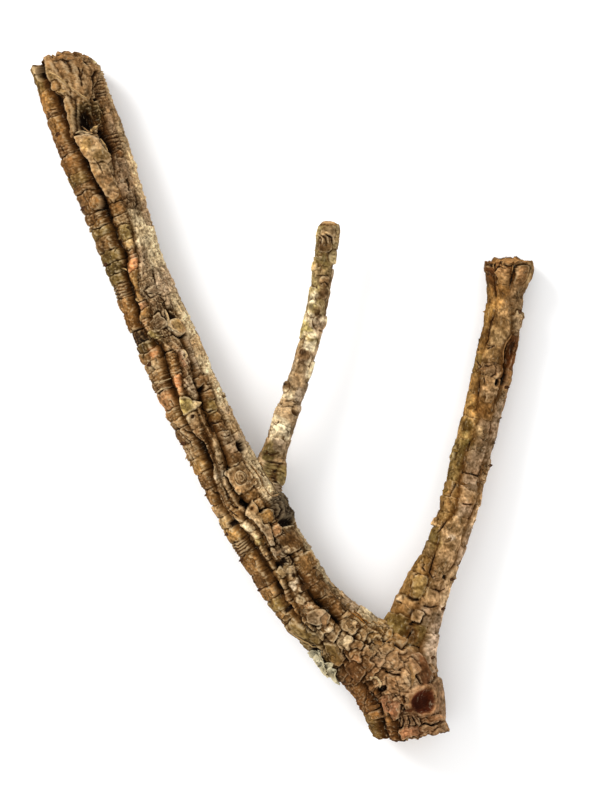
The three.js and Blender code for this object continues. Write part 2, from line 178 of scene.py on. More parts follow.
def soft_noise(points, seed):
    """Smooth noise from -1 to 1 at points in space."""
    cell = np.floor(points)
    t = points - cell
    t = t * t * t * (t * (t * 6 - 15) + 10)
    total = 0
    for corner in np.ndindex(2, 2, 2):
        at = cell + corner
        value = hashed(at[..., 0] + 57 * at[..., 2], at[..., 1], seed)
        weight = 1
        for axis in range(3):
            weight = weight * (t[..., axis] if corner[axis] else 1 - t[..., axis])
        total = total + value * weight
    return total * 2 - 1


def rough_noise(points, seed, octaves):
    """Noise of several sizes, each half as large and half as strong as the last."""
    total, strength = 0, 1
    for octave in range(octaves):
        total = total + strength * soft_noise(points, seed + octave)
        points = points * 2.03 + 17.3
        strength /= 2
    return total


def cracked_cells(u, v, seed, boxy):
    """Cells of a cracked skin: distance to the nearest crack, a number for each cell, and how far
    along it a point lies from its middle. boxy makes the cells squarer."""
    nearest = np.full(u.shape, 9.0)
    second = np.full(u.shape, 9.0)
    number = np.zeros(u.shape)
    along = np.zeros(u.shape)
    for du in (-1, 0, 1):
        for dv in (-1, 0, 1):
            i, j = np.floor(u) + du, np.floor(v) + dv
            gap_u = u - i - 0.15 - 0.7 * hashed(i, j, seed)
            gap_v = v - j - 0.15 - 0.7 * hashed(j, i, seed + 7)
            square = np.maximum(abs(gap_u), abs(gap_v))
            distance = (1 - boxy) * np.hypot(gap_u, gap_v) + boxy * square
            closer = distance < nearest
            second = np.where(closer, nearest, np.minimum(second, distance))
            number = np.where(closer, hashed(i, j, seed + 13), number)
            along = np.where(closer, gap_u, along)
            nearest = np.where(closer, distance, nearest)
    return (second - nearest) / 2, number, along


def smooth(low, high, value):
    """0 below low, 1 above high, and a soft step between them."""
    t = np.clip((value - low) / (high - low), 0, 1)
    return t * t * (3 - 2 * t)


def rounded_gap(distance, floor, shoulder):
    """1 at the floor of a gap, falling to 0 over its rounded shoulder."""
    t = np.clip((distance - floor) / shoulder, 0, 1)
    return 1 - np.sqrt(1 - (1 - t) ** 2)


def spread_out(values, rings, columns):
    """Values averaged over a few rings and columns of a bark's grid."""
    padded = np.concatenate([values[:1]] * rings + [values] + [values[-1:]] * rings)
    total = np.cumsum(np.concatenate([padded[:1] * 0, padded]), axis=0)
    values = (total[2 * rings + 1:] - total[:-2 * rings - 1]) / (2 * rings + 1)
    padded = np.concatenate([values[:, -columns:], values, values[:, :columns]], axis=1)
    total = np.cumsum(np.concatenate([padded[:, :1] * 0, padded], axis=1), axis=1)
    return (total[:, 2 * columns + 1:] - total[:, :-2 * columns - 1]) / (2 * columns + 1)


class Bark:
    """The grid of points on a limb's bark, with its relief, its tints and its markings."""

    def __init__(self, limb, furrows, columns, rings, radius, seed):
        self.limb, self.radius, self.seed = limb, radius, seed
        s = np.linspace(0, limb["length"], rings)
        angles, depths = furrow_lines(limb, furrows, s)
        after = np.vstack([angles[1:], angles[:1] + 2 * math.pi])
        blocks = []
        for k, count in enumerate(columns):
            share = np.arange(count) / count
            share = share - 0.35 * np.sin(2 * math.pi * share) / (2 * math.pi)
            theta = angles[k][:, None] + (after[k] - angles[k])[:, None] * share
            blocks.append((theta, np.full(theta.shape, k)))
        self.theta = np.hstack([theta for theta, _ in blocks])
        self.strip = np.hstack([strip for _, strip in blocks])
        self.s = np.repeat(s[:, None], self.theta.shape[1], axis=1)
        self.step = s[1] - s[0]
        ring = np.arange(rings)[:, None]
        self.from_left = (self.theta - angles[self.strip, ring]) * radius
        self.from_right = (after[self.strip, ring] - self.theta) * radius
        self.left_depth = depths[self.strip, ring]
        self.right_depth = depths[(self.strip + 1) % len(columns), ring]
        turn = self.theta
        self.arc = turn * radius
        self.facing = np.cos(turn)
        self.spot = np.stack([self.s, radius * np.cos(turn), radius * np.sin(turn)], -1)
        self.skin = np.zeros(self.s.shape + (3,))
        # hollow marks where shade is painted into cracks and holes.
        self.lift, self.hollow, self.sink, self.ringed = np.zeros((4,) + self.s.shape)
        self.wander = 1.4 * self.noise(9, 3, 2) + 0.6 * self.noise(3.5, 4, 2)
        centre, _, right, upper, half_width, half_depth = limb_at(limb, self.s)
        self.flat = (centre + right * (half_width * np.sin(turn))[..., None]
                     + upper * (half_depth * np.cos(turn))[..., None])
        self.y = self.flat[..., 1]

    def noise(self, size, seed, octaves, stretch=1.0, rows=EVERYWHERE):
        """Rough noise on the bark, with lumps of a size in mm, stretched along the limb."""
        points = self.spot[rows] / np.array([size * stretch, size, size])
        return rough_noise(points, self.seed + seed, octaves)

    def cells(self, long, wide, waver, size, octaves, seed, pattern, boxy):
        """Cracked cells, so long and wide in mm, whose edges waver with noise of a size in mm."""
        along = self.s / long + waver * self.noise(size, seed, octaves)
        across = self.arc / wide + waver * self.noise(size, seed + 1, octaves)
        return cracked_cells(along, across, pattern, boxy)

    def rings_near(self, low, high):
        """The rings between two distances from the tip."""
        return slice(max(0, int(low / self.step)), max(1, int(high / self.step) + 2))

    def inside_block(self, x, y, long, wide, turn=0.0, corner=0.5, ragged=1.3):
        """The rings round a block of the upper face, the distance in mm inside its outline, and its
        slope from -1 to 1. turn swings its lower end to the right of the limb's own line."""
        s, middle, half_width = place_under(self.limb, x, y)
        reach = 0.8 * (long + wide) + 6
        rows = self.rings_near(s - reach, s + reach)
        across = ((self.theta[rows] - middle + math.pi) % (2 * math.pi) - math.pi) * half_width
        down = self.s[rows] - s
        c, t = math.cos(math.radians(turn)), math.sin(math.radians(turn))
        wide = wide / max(math.cos(middle), 0.5)
        half_w, half_l = wide / 2, long / 2
        r = min(half_w, half_l) * corner
        dx = abs(across * c - down * t) - (half_w - r)
        dy = abs(across * t + down * c) - (half_l - r)
        outside = np.hypot(np.maximum(dx, 0), np.maximum(dy, 0)) + np.minimum(np.maximum(dx, dy), 0)
        lean = 2 * math.pi * hashed(x, y, 3)
        slope = (across * math.cos(lean) + down * math.sin(lean)) / (half_w + half_l) * 2
        return rows, r - outside + ragged * self.noise(5, 90, 4, rows=rows), np.clip(slope, -1, 1)

    def from_line(self, points):
        """The rings round a line on the upper face, the distance from it in mm, and how far along."""
        places = [place_under(self.limb, x, y) for x, y in points]
        rows = self.rings_near(min(p[0] for p in places) - 8, max(p[0] for p in places) + 8)
        best = np.full(self.s[rows].shape, FAR)
        share = np.zeros(best.shape)
        for k, ((s0, t0, a), (s1, t1, _)) in enumerate(zip(places, places[1:])):
            across = ((self.theta[rows] - t0 + math.pi) % (2 * math.pi) - math.pi) * a
            down = self.s[rows] - s0
            dx, dy = (t1 - t0) * a, s1 - s0
            t = np.clip((across * dx + down * dy) / (dx * dx + dy * dy + 1e-6), 0, 1)
            distance = np.hypot(across - t * dx, down - t * dy)
            share = np.where(distance < best, (k + t) / (len(places) - 1), share)
            best = np.minimum(best, distance)
        return rows, best + 0.4 * self.noise(3.5, 91, 2, rows=rows), share

    def inside_outline(self, points):
        """The rings round an outline on the upper face, and the distance in mm inside it."""
        places = [place_under(self.limb, x, y) for x, y in points]
        rows = self.rings_near(min(p[0] for p in places) - 8, max(p[0] for p in places) + 8)
        a = sum(p[2] for p in places) / len(places)
        across, down = self.theta[rows] * a, self.s[rows]
        within = np.zeros(across.shape, bool)
        best = np.full(across.shape, FAR)
        for (s0, t0, _), (s1, t1, _) in zip(places, places[1:] + places[:1]):
            x0, x1 = t0 * a, t1 * a
            t = np.clip(((across - x0) * (x1 - x0) + (down - s0) * (s1 - s0))
                        / ((x1 - x0) ** 2 + (s1 - s0) ** 2 + 1e-6), 0, 1)
            best = np.minimum(best, np.hypot(across - x0 - t * (x1 - x0), down - s0 - t * (s1 - s0)))
            crosses = (s0 > down) != (s1 > down)
            within ^= crosses & (across < x0 + (down - s0) * (x1 - x0) / (s1 - s0 + 1e-9))
        return rows, np.where(within, best, -best) + 0.9 * self.noise(4, 92, 2, rows=rows)

    def paint(self, rows, amount, tint):
        """Turns the colour of some rings towards a tint."""
        colour = np.array(TINTS[tint], float)
        self.skin[rows] += (colour - self.skin[rows]) * amount[..., None]

    def darken(self, rows, amount):
        """Marks places as lying in a crack, where shade is painted, from 0 to 1."""
        self.hollow[rows] = np.maximum(self.hollow[rows], amount)

    def raise_to(self, rows, body, level):
        """Lays a level over the relief that was there, where body is 1."""
        self.lift[rows] += (level - self.lift[rows]) * body


def lump(bark, x, y, long, wide, turn, rise, tint, folds=0.0, edge=2.6, corner=0.5, crease=2.2):
    """A block or a plate of bark standing up from the face, with a crease round it."""
    ragged = 0.4 if corner > 0.8 else 1.3
    rows, inside, slope = bark.inside_block(x, y, long, wide, turn, corner, ragged)
    settle(bark, rows, inside, rise, tint, folds, edge, crease, slope)


def plate(bark, outline, rise, tint, folds=0.0, edge=1.6, crease=2.0):
    """A plate of bark of its own outline, with a crease round it."""
    rows, inside = bark.inside_outline(outline)
    settle(bark, rows, inside, rise, tint, folds, edge, crease, 0.3 * bark.noise(9, 89, 2, rows=rows))


def settle(bark, rows, inside, rise, tint, folds, edge, crease, slope):
    """Its high side stands over a crease with painted shade in it, and its low side runs into the bark
    beside it.
    """
    body = smooth(-0.5, 0.4, inside) * smooth(-1.5, -0.4, slope + inside / 3)
    dome = np.sqrt(1 - (1 - np.clip(inside / edge, 0, 1)) ** 2)
    level = rise * dome - 0.4 * (1 - dome) + 1.4 * slope + 0.8 * bark.noise(6, 93, 4, rows=rows)
    level = level + folds * np.sin(inside * 2 * math.pi / 2.3 + 1.5 * bark.noise(7, 94, 2, rows=rows))
    gap = np.exp(-(((inside + 0.8) / 1.2) ** 2)) * np.clip(0.45 + 0.75 * slope, 0.0, 1)
    bark.lift[rows] -= crease * gap
    bark.raise_to(rows, body, level)
    bark.hollow[rows] *= 1 - body
    bark.sink[rows] *= 1 - 0.7 * body
    # Painted shade in the crease under the high side, broken up by noise.
    uneven = np.clip(0.4 + 0.7 * bark.noise(4, 88, 2, rows=rows), 0.0, 1)
    bark.darken(rows, 0.55 * gap * uneven * min(1, crease / 2))
    bark.ringed[rows] *= 1 - body
    if tint:
        bark.paint(rows, 0.85 * smooth(-1.0, 1.2, inside + 0.7 * bark.noise(3, 87, 2, rows=rows)), tint)


def crack(bark, points, width, depth, dark=0.8, tint=None):
    """A crack in the face, tapering to its ends, with painted shade along it."""
    rows, away, share = bark.from_line(points)
    taper = smooth(-0.02, 0.15, share) * smooth(1.02, 0.85, share)
    if tint:
        bark.paint(rows, np.exp(-((away / (width * 2.2)) ** 2)) * 0.8 * taper, tint)
    gap = np.exp(-((away / width) ** 2)) * taper
    bark.lift[rows] -= depth * gap
    bark.darken(rows, dark * gap)


def ridge(bark, points, width, height, tint=None):
    """A splinter or a raised edge on the face."""
    rows, away, share = bark.from_line(points)
    taper = smooth(-0.02, 0.2, share) * smooth(1.02, 0.8, share)
    up = np.exp(-((away / width) ** 2)) * taper
    bark.lift[rows] += height * up
    bark.hollow[rows] *= 1 - up
    if tint:
        bark.paint(rows, np.clip(1.2 * up, 0, 1), tint)


def patch(bark, x, y, long, wide, turn, tint, amount=0.85, rise=0.0):
    """A patch of another colour, with a ragged edge."""
    rows, inside, _ = bark.inside_block(x, y, long, wide, turn, 0.9)
    inside = inside + 0.9 * bark.noise(3, 95, 3, rows=rows)
    spread = smooth(-0.8, 1.0, inside)
    bark.paint(rows, amount * spread, tint)
    if rise:
        bark.hollow[rows] *= 1 - spread
        bark.lift[rows] += rise * smooth(-0.2, 0.8, inside)


def pit(bark, x, y, long, wide, turn, depth, rim=0.0, dark=1.0, tint=None):
    """A hole in the face, with a raised rim and painted shade in it."""
    rows, inside, _ = bark.inside_block(x, y, long, wide, turn, 1.0, 0.4)
    bark.lift[rows] += rim * np.exp(-(((inside + 1.4) / 1.6) ** 2))
    hole = smooth(-0.4, min(long, wide) * 0.28, inside)
    if tint:
        bark.paint(rows, smooth(-1.5, 0.5, inside), tint)
    bark.lift[rows] -= depth * hole
    bark.darken(rows, dark * hole)


def crack_across(bark, strip, cracks):
    """Cracks a strip across into stacked blocks. Each crack has its place and depth, and the tint,
    rise and ringing of the block below it."""
    mine = bark.strip == strip
    s = (bark.s + bark.wander)[mine]
    cracks = sorted(cracks)
    edges, deeps, tints, rises, folds = (list(column) for column in zip(*cracks))
    edges = np.array([edges[0] - 30] + edges + [edges[-1] + 30])
    deeps = np.array([1.0] + deeps + [1.0])
    tints, rises, folds = [tints[0]] + tints, [rises[0]] + rises, [folds[0]] + folds
    at = np.clip(np.searchsorted(edges, s) - 1, 0, len(tints) - 1)
    above, below = abs(s - edges[at]), abs(edges[at + 1] - s)
    deep = np.where(above < below, deeps[at], deeps[at + 1])
    shoulder = np.clip(0.3 * (edges[at + 1] - edges[at]), 0.8, 3.6)
    gap = rounded_gap(np.minimum(above, below), 0.3, shoulder)
    uneven = np.clip(0.65 + 0.5 * bark.noise(7, 86, 2)[mine], 0.15, 1.1)
    tilt = 1.3 * (hashed(at, strip, bark.seed + 31) - 0.35) * (below - above) / (above + below)
    bark.lift[mine] += np.array(rises)[at] - deep * gap * uneven + tilt
    # Painted shade along the cracks between the blocks.
    line = rounded_gap(np.minimum(above, below), 0.3, 1.1)
    bark.hollow[mine] = np.clip(deep / 3, 0, 1) * line * uneven
    bark.ringed[mine] = np.array(folds)[at]
    bark.skin[mine] = np.array([TINTS[tint] for tint in tints], float)[at]


def read_cracks(limb, rows, usual):
    """Cracks read off the upper face: x, y, depth, and the tint, rise and ringing below. A row
    that ends with the rise has the usual ringing."""
    return [(place_under(limb, x, y)[0], depth, tint, rise, *(rings or [usual]))
            for x, y, depth, tint, rise, *rings in rows]


def chance_cracks(bark, strip, length, depth, tints, rings, lift=0.6):
    """Cracks at chance places, for the faces that are turned away."""
    m = np.arange(int(bark.limb["length"] / length) + 4)
    places = np.cumsum(length * (0.45 + 1.1 * hashed(m, strip, bark.seed + 21)))
    deeps = depth * (0.45 + 0.75 * hashed(m, strip + 40, bark.seed + 5))
    rises = lift * (2 * hashed(m, strip + 80, bark.seed + 9) - 0.6)
    pick = (hashed(m, strip + 70, bark.seed + 1) * len(tints)).astype(int)
    return [(places[k], deeps[k], tints[pick[k]], rises[k], rings * 2 * hashed(k, strip, 8)) for k in m]


def open_furrows(bark, floor=0.6, shoulder=0.8, ragged=1.3):
    """Sinks the furrows between the strips, wider where they are deeper, with rounded shoulders."""
    wobble = ragged * bark.noise(6, 31, 3)

    def sunk(distance, depth):
        t = np.clip((distance + wobble - floor) / (1.2 + shoulder * depth), 0, 1)
        return (0.55 * (1 - smooth(0, 1, t)) + 0.45 * (1 - np.sqrt(1 - (1 - t) ** 2))) * depth

    sink = np.maximum(sunk(bark.from_left, bark.left_depth), sunk(bark.from_right, bark.right_depth))
    bark.lift -= sink
    # The sink is kept for the painted shade down the furrow walls.
    bark.sink += sink


def flare(bark, other, reach, height):
    """Swells the bark where another limb grows out of it."""
    samples = limb_at(other, np.arange(0, other["length"], 3.0))
    centres, radii = samples[0], (samples[4] + samples[5]) / 2
    nearest = np.full(bark.s.shape, FAR)
    for centre, r in zip(centres, radii):
        nearest = np.minimum(nearest, np.linalg.norm(bark.flat - centre, axis=-1) - r)
    bark.lift += height * np.exp(-((np.maximum(nearest, 0) / reach) ** 2))


# Tints of painted shade, down furrow walls and in cracks, and of a painted highlight on standing edges.
PAINTED_WALL_SHADE = (118, 76, 38)
PAINTED_CRACK_SHADE = (60, 36, 16)
PAINTED_EDGE_HIGHLIGHT = (226, 202, 160)
PALEST = 190
CONTRAST = 1.45  # the light and dark tints are drawn apart round the palest one
LIT = 0.83  # and all are darkened to match the photograph under this scene's light


def bark_tone(light, rich=1.0):
    """The usual colour of this bark at a lightness: browner where it is dark, creamier where pale."""
    rich = rich * np.clip(light / 42, 0, 1)
    return np.stack([light + 20 * rich, light - 4 * rich, light - 34 * rich], -1)


def mottle_and_paint_shading(bark, depth=1.0, edges=1.0, blend=0.45, mottled=1.0, rich=0.92):
    """Paints shade and highlight from the relief into the colour: painted shade warm down the walls and
    dark in the cracks, and a painted highlight pale at the edges, over a random mottle.
    """
    ring, column = max(1, round(0.9 / bark.step)), 2
    close = bark.lift - spread_out(bark.lift, ring, column)
    wide = spread_out(spread_out(bark.lift, 6 * ring, 5 * column), 6 * ring, 5 * column)
    around = (wide - bark.lift) / depth
    mottle = 1 + mottled * (0.12 * bark.noise(15, 96, 3) + 0.14 * bark.noise(5, 98, 3)
                            + 0.21 * bark.noise(1.8, 97, 3))
    skin = bark.skin + (spread_out(bark.skin, 8 * ring, 8 * column) - bark.skin) * blend
    # Painted shade and highlight: darker where the bark lies below its surroundings, lighter where it
    # stands above them.
    skin = spread_out(skin, 1, 1) * (mottle * np.clip(1 - 0.07 * around, 0.8, 1.25))[..., None]
    # Painted highlight on standing edges; painted shade down the walls, in cracks and in the places
    # marked hollow.
    for amount, colour in (
            (0.7 * edges * smooth(0.08, 0.5, close), PAINTED_EDGE_HIGHLIGHT),
            (0.7 * smooth(0.4, 2.8, np.maximum(around, 0.6 * bark.sink / depth)), PAINTED_WALL_SHADE),
            (0.85 * smooth(2, 5, np.maximum(around, 0.55 * bark.sink / depth)), PAINTED_CRACK_SHADE),
            (0.4 * smooth(0.12, 0.7, -close), PAINTED_CRACK_SHADE),
            (0.75 * smooth(0.2, 1, bark.hollow), PAINTED_CRACK_SHADE)):
        skin = skin + (np.array(colour, float) - skin) * amount[..., None]
    light = np.clip(skin @ [0.3, 0.59, 0.11], 1, 250)
    aged = LIT * PALEST * (light / PALEST) ** CONTRAST
    skin = bark_tone(aged, rich) + (skin - bark_tone(light)) * (0.85 * aged / light)[..., None]
    bark.skin = np.clip(skin, 4, 250)


MM = 1000  # millimetres in a metre
END_REACH = 50  # mm of a limb over which its cut-back rim evens out
CAP_RINGS = 20
CORE = 0.81  # share of an end's radius that is wood, with cork round it


def end_cut(end, v, w):
    """How far the rim of a broken end is cut back at a place across it."""
    side = np.where(v < 0, end["left"], end["right"])
    face = np.where(w < 0, end["lower"], end["upper"])
    return side * v * v + face * w * w


def bark_points(bark, s, theta, reach, lift, tip, root, outwards=0.0):
    """Points on the limb, in mm, at a share of the way out from its core."""
    limb = bark.limb
    v, w = np.sin(theta) * reach, np.cos(theta) * reach
    rim = np.stack([7 * np.cos(theta), 7 * np.sin(theta), 0 * theta + reach], -1)
    from_tip = end_cut(tip, v, w) + tip["ragged"] * rough_noise(rim, bark.seed + 55, 3) * reach**2
    from_root = end_cut(root, v, w) + root["ragged"] * rough_noise(rim, bark.seed + 56, 3) * reach**2
    from_tip = from_tip * np.maximum(0, 1 - s / END_REACH) ** 2
    from_root = from_root * np.maximum(0, 1 - (limb["length"] - s) / END_REACH) ** 2
    centre, _, right, upper, a, b = limb_at(limb, s + from_tip - from_root + outwards)
    return (centre + right * (v * a + np.sin(theta) * lift)[..., None]
            + upper * (w * b + np.cos(theta) * lift)[..., None])


def linear(colour):
    """A colour from 0 to 255 a channel, as light."""
    share = np.asarray(colour, float) / 255
    return np.where(share > 0.04, ((share + 0.055) / 1.055) ** 2.4, share / 12.92)


def add_object(name, data):
    """An object of some data, in the scene."""
    made = bpy.data.objects.new(name, data)
    bpy.context.collection.objects.link(made)
    return made


def per_point(mesh, name, kind, values):
    """Keeps a number, a place or a colour for each point of a mesh, for its material to read."""
    field = {"FLOAT": "value", "FLOAT_VECTOR": "vector", "FLOAT_COLOR": "color"}[kind]
    layer = mesh.attributes.new(name, kind, "POINT")
    layer.data.foreach_set(field, np.asarray(values).astype(np.float32).ravel())


def colour_points(mesh, skin):
    """Gives each point of a mesh its own colour, from 0 to 255 a channel."""
    light = linear(skin)
    per_point(mesh, "skin", "FLOAT_COLOR", np.concatenate([light, np.ones((len(light), 1))], axis=1))


def bark_mesh(bark, name, tip, root, first=0, last=None):
    """The closed mesh of a run of a limb's rings. Its own ends are broken wood, and a run that
    ends half way is closed by a plain disc inside the limb."""
    rings = bark.s.shape[0]
    last = rings - 1 if last is None else last
    inner = np.linspace(1, 0, CAP_RINGS + 1)[1:-1]
    around = bark.s.shape[1]
    wall = bark_points(bark, bark.s, bark.theta, np.ones(bark.s.shape), bark.lift, tip, root)
    grids = {"point": wall, "skin": bark.skin, "hollow": bark.hollow, "ringed": bark.ringed,
             "spot": bark.spot}
    grids = {key: grid[first:last + 1] for key, grid in grids.items()}
    middles = []
    for end, ring, sign in ((tip, first, 1), (root, last, -1)):
        own_end = ring == 0 or ring == rings - 1
        theta, s = bark.theta[ring], bark.s[ring]
        if not own_end:
            middles.append(limb_at(bark.limb, s[:1])[0][0])
            continue
        caps = {key: [] for key in grids}
        for reach in inner:
            face = [reach * np.cos(theta), reach * np.sin(theta), 0 * theta]
            cut = np.stack(face, -1) * bark.radius / 6
            rough = rough_noise(cut + 40, bark.seed + 50, 4)
            sunk = end["dish"] * smooth(1.0, 0.55, reach)
            sunk = sunk + end["rough"] * rough * smooth(1.0, 0.85, reach)
            lift = bark.lift[ring] * reach**2
            share = np.full(theta.shape, reach)
            caps["point"].append(bark_points(bark, s, theta, share, lift, tip, root, sign * sunk))
            out = (reach * bark.radius + lift) / bark.radius
            wood = smooth(CORE + 0.02, CORE - 0.02, out)[:, None]
            grown = 1 + 0.13 * np.sin(out * bark.radius * 1.5) + 0.14 * rough
            broken = np.array(TINTS[end["wood"]], float) * grown[:, None]
            cork = np.array(TINTS["deep ochre"], float) * (0.8 + 0.25 * rough)[:, None]
            outside = smooth(0.9, 1.0, reach)
            inside = cork * (1 - wood) + broken * wood
            caps["skin"].append(bark.skin[ring] * outside + inside * (1 - outside))
            caps["hollow"].append(bark.hollow[ring] * 0.2)
            caps["ringed"].append(bark.ringed[ring] * 0)
            caps["spot"].append(bark.spot[ring] * np.array([1, reach, reach]))
        middles.append(bark_points(bark, s[:1], theta[:1], np.zeros(1), np.zeros(1), tip, root,
                                   sign * np.full(1, float(end["dish"])))[0])
        for key in grids:
            cap = np.array(caps[key])
            grids[key] = np.concatenate([cap[::-1], grids[key]] if sign > 0 else [grids[key], cap])
    points = np.concatenate([grids["point"].reshape(-1, 3), middles])
    points[:, 2] = np.maximum(points[:, 2], 0)
    turns = grids["point"].shape[0]

    i, c = np.meshgrid(np.arange(turns - 1), np.arange(around), indexing="ij")
    after = (c + 1) % around
    here, below = i * around, (i + 1) * around
    quads = np.stack([here + c, below + c, below + after, here + after], -1)
    columns = np.arange(around)
    following = (columns + 1) % around
    base = (turns - 1) * around
    tip_fan = np.stack([np.full(around, turns * around), columns, following], -1)
    root_fan = np.stack([base + columns, np.full(around, turns * around + 1), base + following], -1)
    faces = quads.reshape(-1, 4).tolist() + tip_fan.tolist() + root_fan.tolist()
    mesh = bpy.data.meshes.new(name)
    mesh.from_pydata((points / MM).tolist(), [], faces)

    # One sheet of the bark laid flat, as the map for a texture of its finish.
    rows = turns + 1
    u0, u1 = c.reshape(-1) / around, (c.reshape(-1) + 1) / around
    v0, v1 = i.reshape(-1) / rows + 0.001, (i.reshape(-1) + 1) / rows + 0.001
    sheet = np.stack([u0, v0, u0, v1, u1, v1, u1, v0], -1).reshape(-1, 2)
    low, high = 0.001, (turns - 1) / rows + 0.001
    u0, u1, middle = columns / around, (columns + 1) / around, (columns + 0.5) / around
    flat_low, flat_high = np.full(around, low), np.full(around, high)
    tip_uv = np.stack([middle, flat_low * 0, u0, flat_low, u1, flat_low], -1).reshape(-1, 2)
    root_uv = np.stack([u0, flat_high, middle, flat_high * 0 + 1, u1, flat_high], -1).reshape(-1, 2)
    uv = mesh.uv_layers.new(name="OFBake")
    uv.data.foreach_set("uv", np.concatenate([sheet, tip_uv, root_uv]).astype(np.float32).ravel())

    skin = grids["skin"].reshape(-1, 3)
    colour_points(mesh, np.clip(np.concatenate([skin, skin[:1], skin[-1:]]), 0, 255))
    for key in ("hollow", "ringed"):
        per_point(mesh, key, "FLOAT", np.concatenate([grids[key].ravel(), [0, 0]]))
    straight = grids["spot"].reshape(-1, 3)
    on_axis = straight[[0, -1]] * [1, 0, 0]
    per_point(mesh, "straight", "FLOAT_VECTOR", np.concatenate([straight, on_axis]) / MM)

    mesh.shade_smooth()
    ends = np.array([first > 0] * around + [last < rings - 1] * around)
    rim = set(columns[ends[:around]].tolist()) | set((base + columns[ends[around:]]).tolist())
    if rim:
        edge_ends = np.empty(len(mesh.edges) * 2, np.int32)
        mesh.edges.foreach_get("vertices", edge_ends)
        edge_ends = edge_ends.reshape(-1, 2)
        on_rim = np.isin(edge_ends, list(rim)).all(axis=1)
        sharp = mesh.attributes.new("sharp_edge", "BOOLEAN", "EDGE")
        sharp.data.foreach_set("value", on_rim)
    return add_object(name, mesh)


main_path = limb_path(MAIN_STATIONS)
main = Bark(main_path, MAIN_FURROWS, MAIN_COLUMNS, MAIN_PARTS * PART_RINGS + 1, MAIN_RADIUS, seed=3)

# The cracks that part each strip into blocks, read from the top end to the butt: x, y and depth,
# then the block below: its tint, how far it stands up, and how deeply it is ringed, which is
# left out where that is as usual.
LEFT_BARRELS = [
    (-217, 292, 2.5, "olive", 0.3), (-214, 274, 1.5, "gold", 1, 0.2),
    (-206, 256, 2.6, "brown", 0.3, 0.6), (-204, 250, 2.2, "gold", 1.2, 0.2),
    (-198, 236, 0.8, "ochre", 0.8, 0.3), (-192, 226, 1, "brown", 0.6, 0.5),
    (-189, 217, 2.8, "ochre", 1.2, 0.3), (-182, 200, 1, "olive", 1, 0.5),
    (-176, 190, 1, "brown", 0.9, 0.2), (-172, 184, 3.4, "ochre", 0.2),
    (-164, 165, 3.2, "brown", 0.8, 0.4), (-160, 158, 1.4, "deep ochre", 0.9, 0.5),
    (-160, 152, 3, "olive", 0.9, 0.2), (-157, 144, 1.6, "brown", 1.4, 0.3),
    (-152, 131, 3.2, "olive", 1.3, 0.3), (-149, 120, 3, "dark olive", 1.1, 0.3),
    (-146, 110, 3.2, "olive", 1, 0.2), (-142, 101, 2.2, "brown", 0.6, 1.2),
    (-137, 89.5, 2.4, "ochre", 1, 0.2), (-133, 77, 1, "deep ochre", 1, 0.2),
    (-127, 60, 2.6, "dark brown", -1, 0.2), (-123, 48, 2.2, "dark olive", 0.2),
    (-120, 40, 1.4, "ochre", 0.8, 0.2), (-114, 32, 1.6, "tan", 0.9, 0.2),
    (-109, 24, 2, "ochre", 0.9, 0.6), (-106, 15, 2.6, "brown", 0.8, 0.7),
    (-103, 5.5, 3.2, "orange tan", 0.9, 0.2), (-99, -12, 2.4, "ochre", 0.8, 0.4),
    (-95, -20, 1.6, "tan", 0.7, 0.4), (-90, -28, 2.8, "brown", 0.8, 0.3),
    (-83, -41, 2.2, "tan", 0.7, 0.5), (-77, -55, 1.8, "gold", 0.9, 0.3),
    (-71, -68, 2.2, "brown", 0.7, 0.4), (-65, -81, 1.8, "ochre", 0.7, 0.2),
    (-57, -95, 2.6, "tan", 0.9, 0.3), (-52, -106, 2.6, "pale gold", 0.9),
    (-45, -117, 3, "gold", 1.4, 0.2), (-38, -127, 2.6, "brown", 0.8, 1.3),
    (-31, -140, 2.6, "ochre", 1.1, 0.3), (-20, -156, 2.8, "brown", 1.1, 0.2),
    (-12, -167, 2.6, "ochre", 1.1, 0.2), (-4, -178, 2.8, "olive", 0.9, 0.2),
    (2, -187, 2.4, "ochre", 0.9, 0.2), (10, -197, 2, "light tan", 0.9), (22, -211, 2.2, "olive", 0.8),
    (38, -222, 2.2, "dark olive", 1), (52, -238, 2.4, "brown", 0.9), (63, -252, 2, "ochre", 0.9, 0.05),
    (72, -266, 1, "deep ochre", 0.9), (79, -283, 0.9, "olive", 0.9),
]
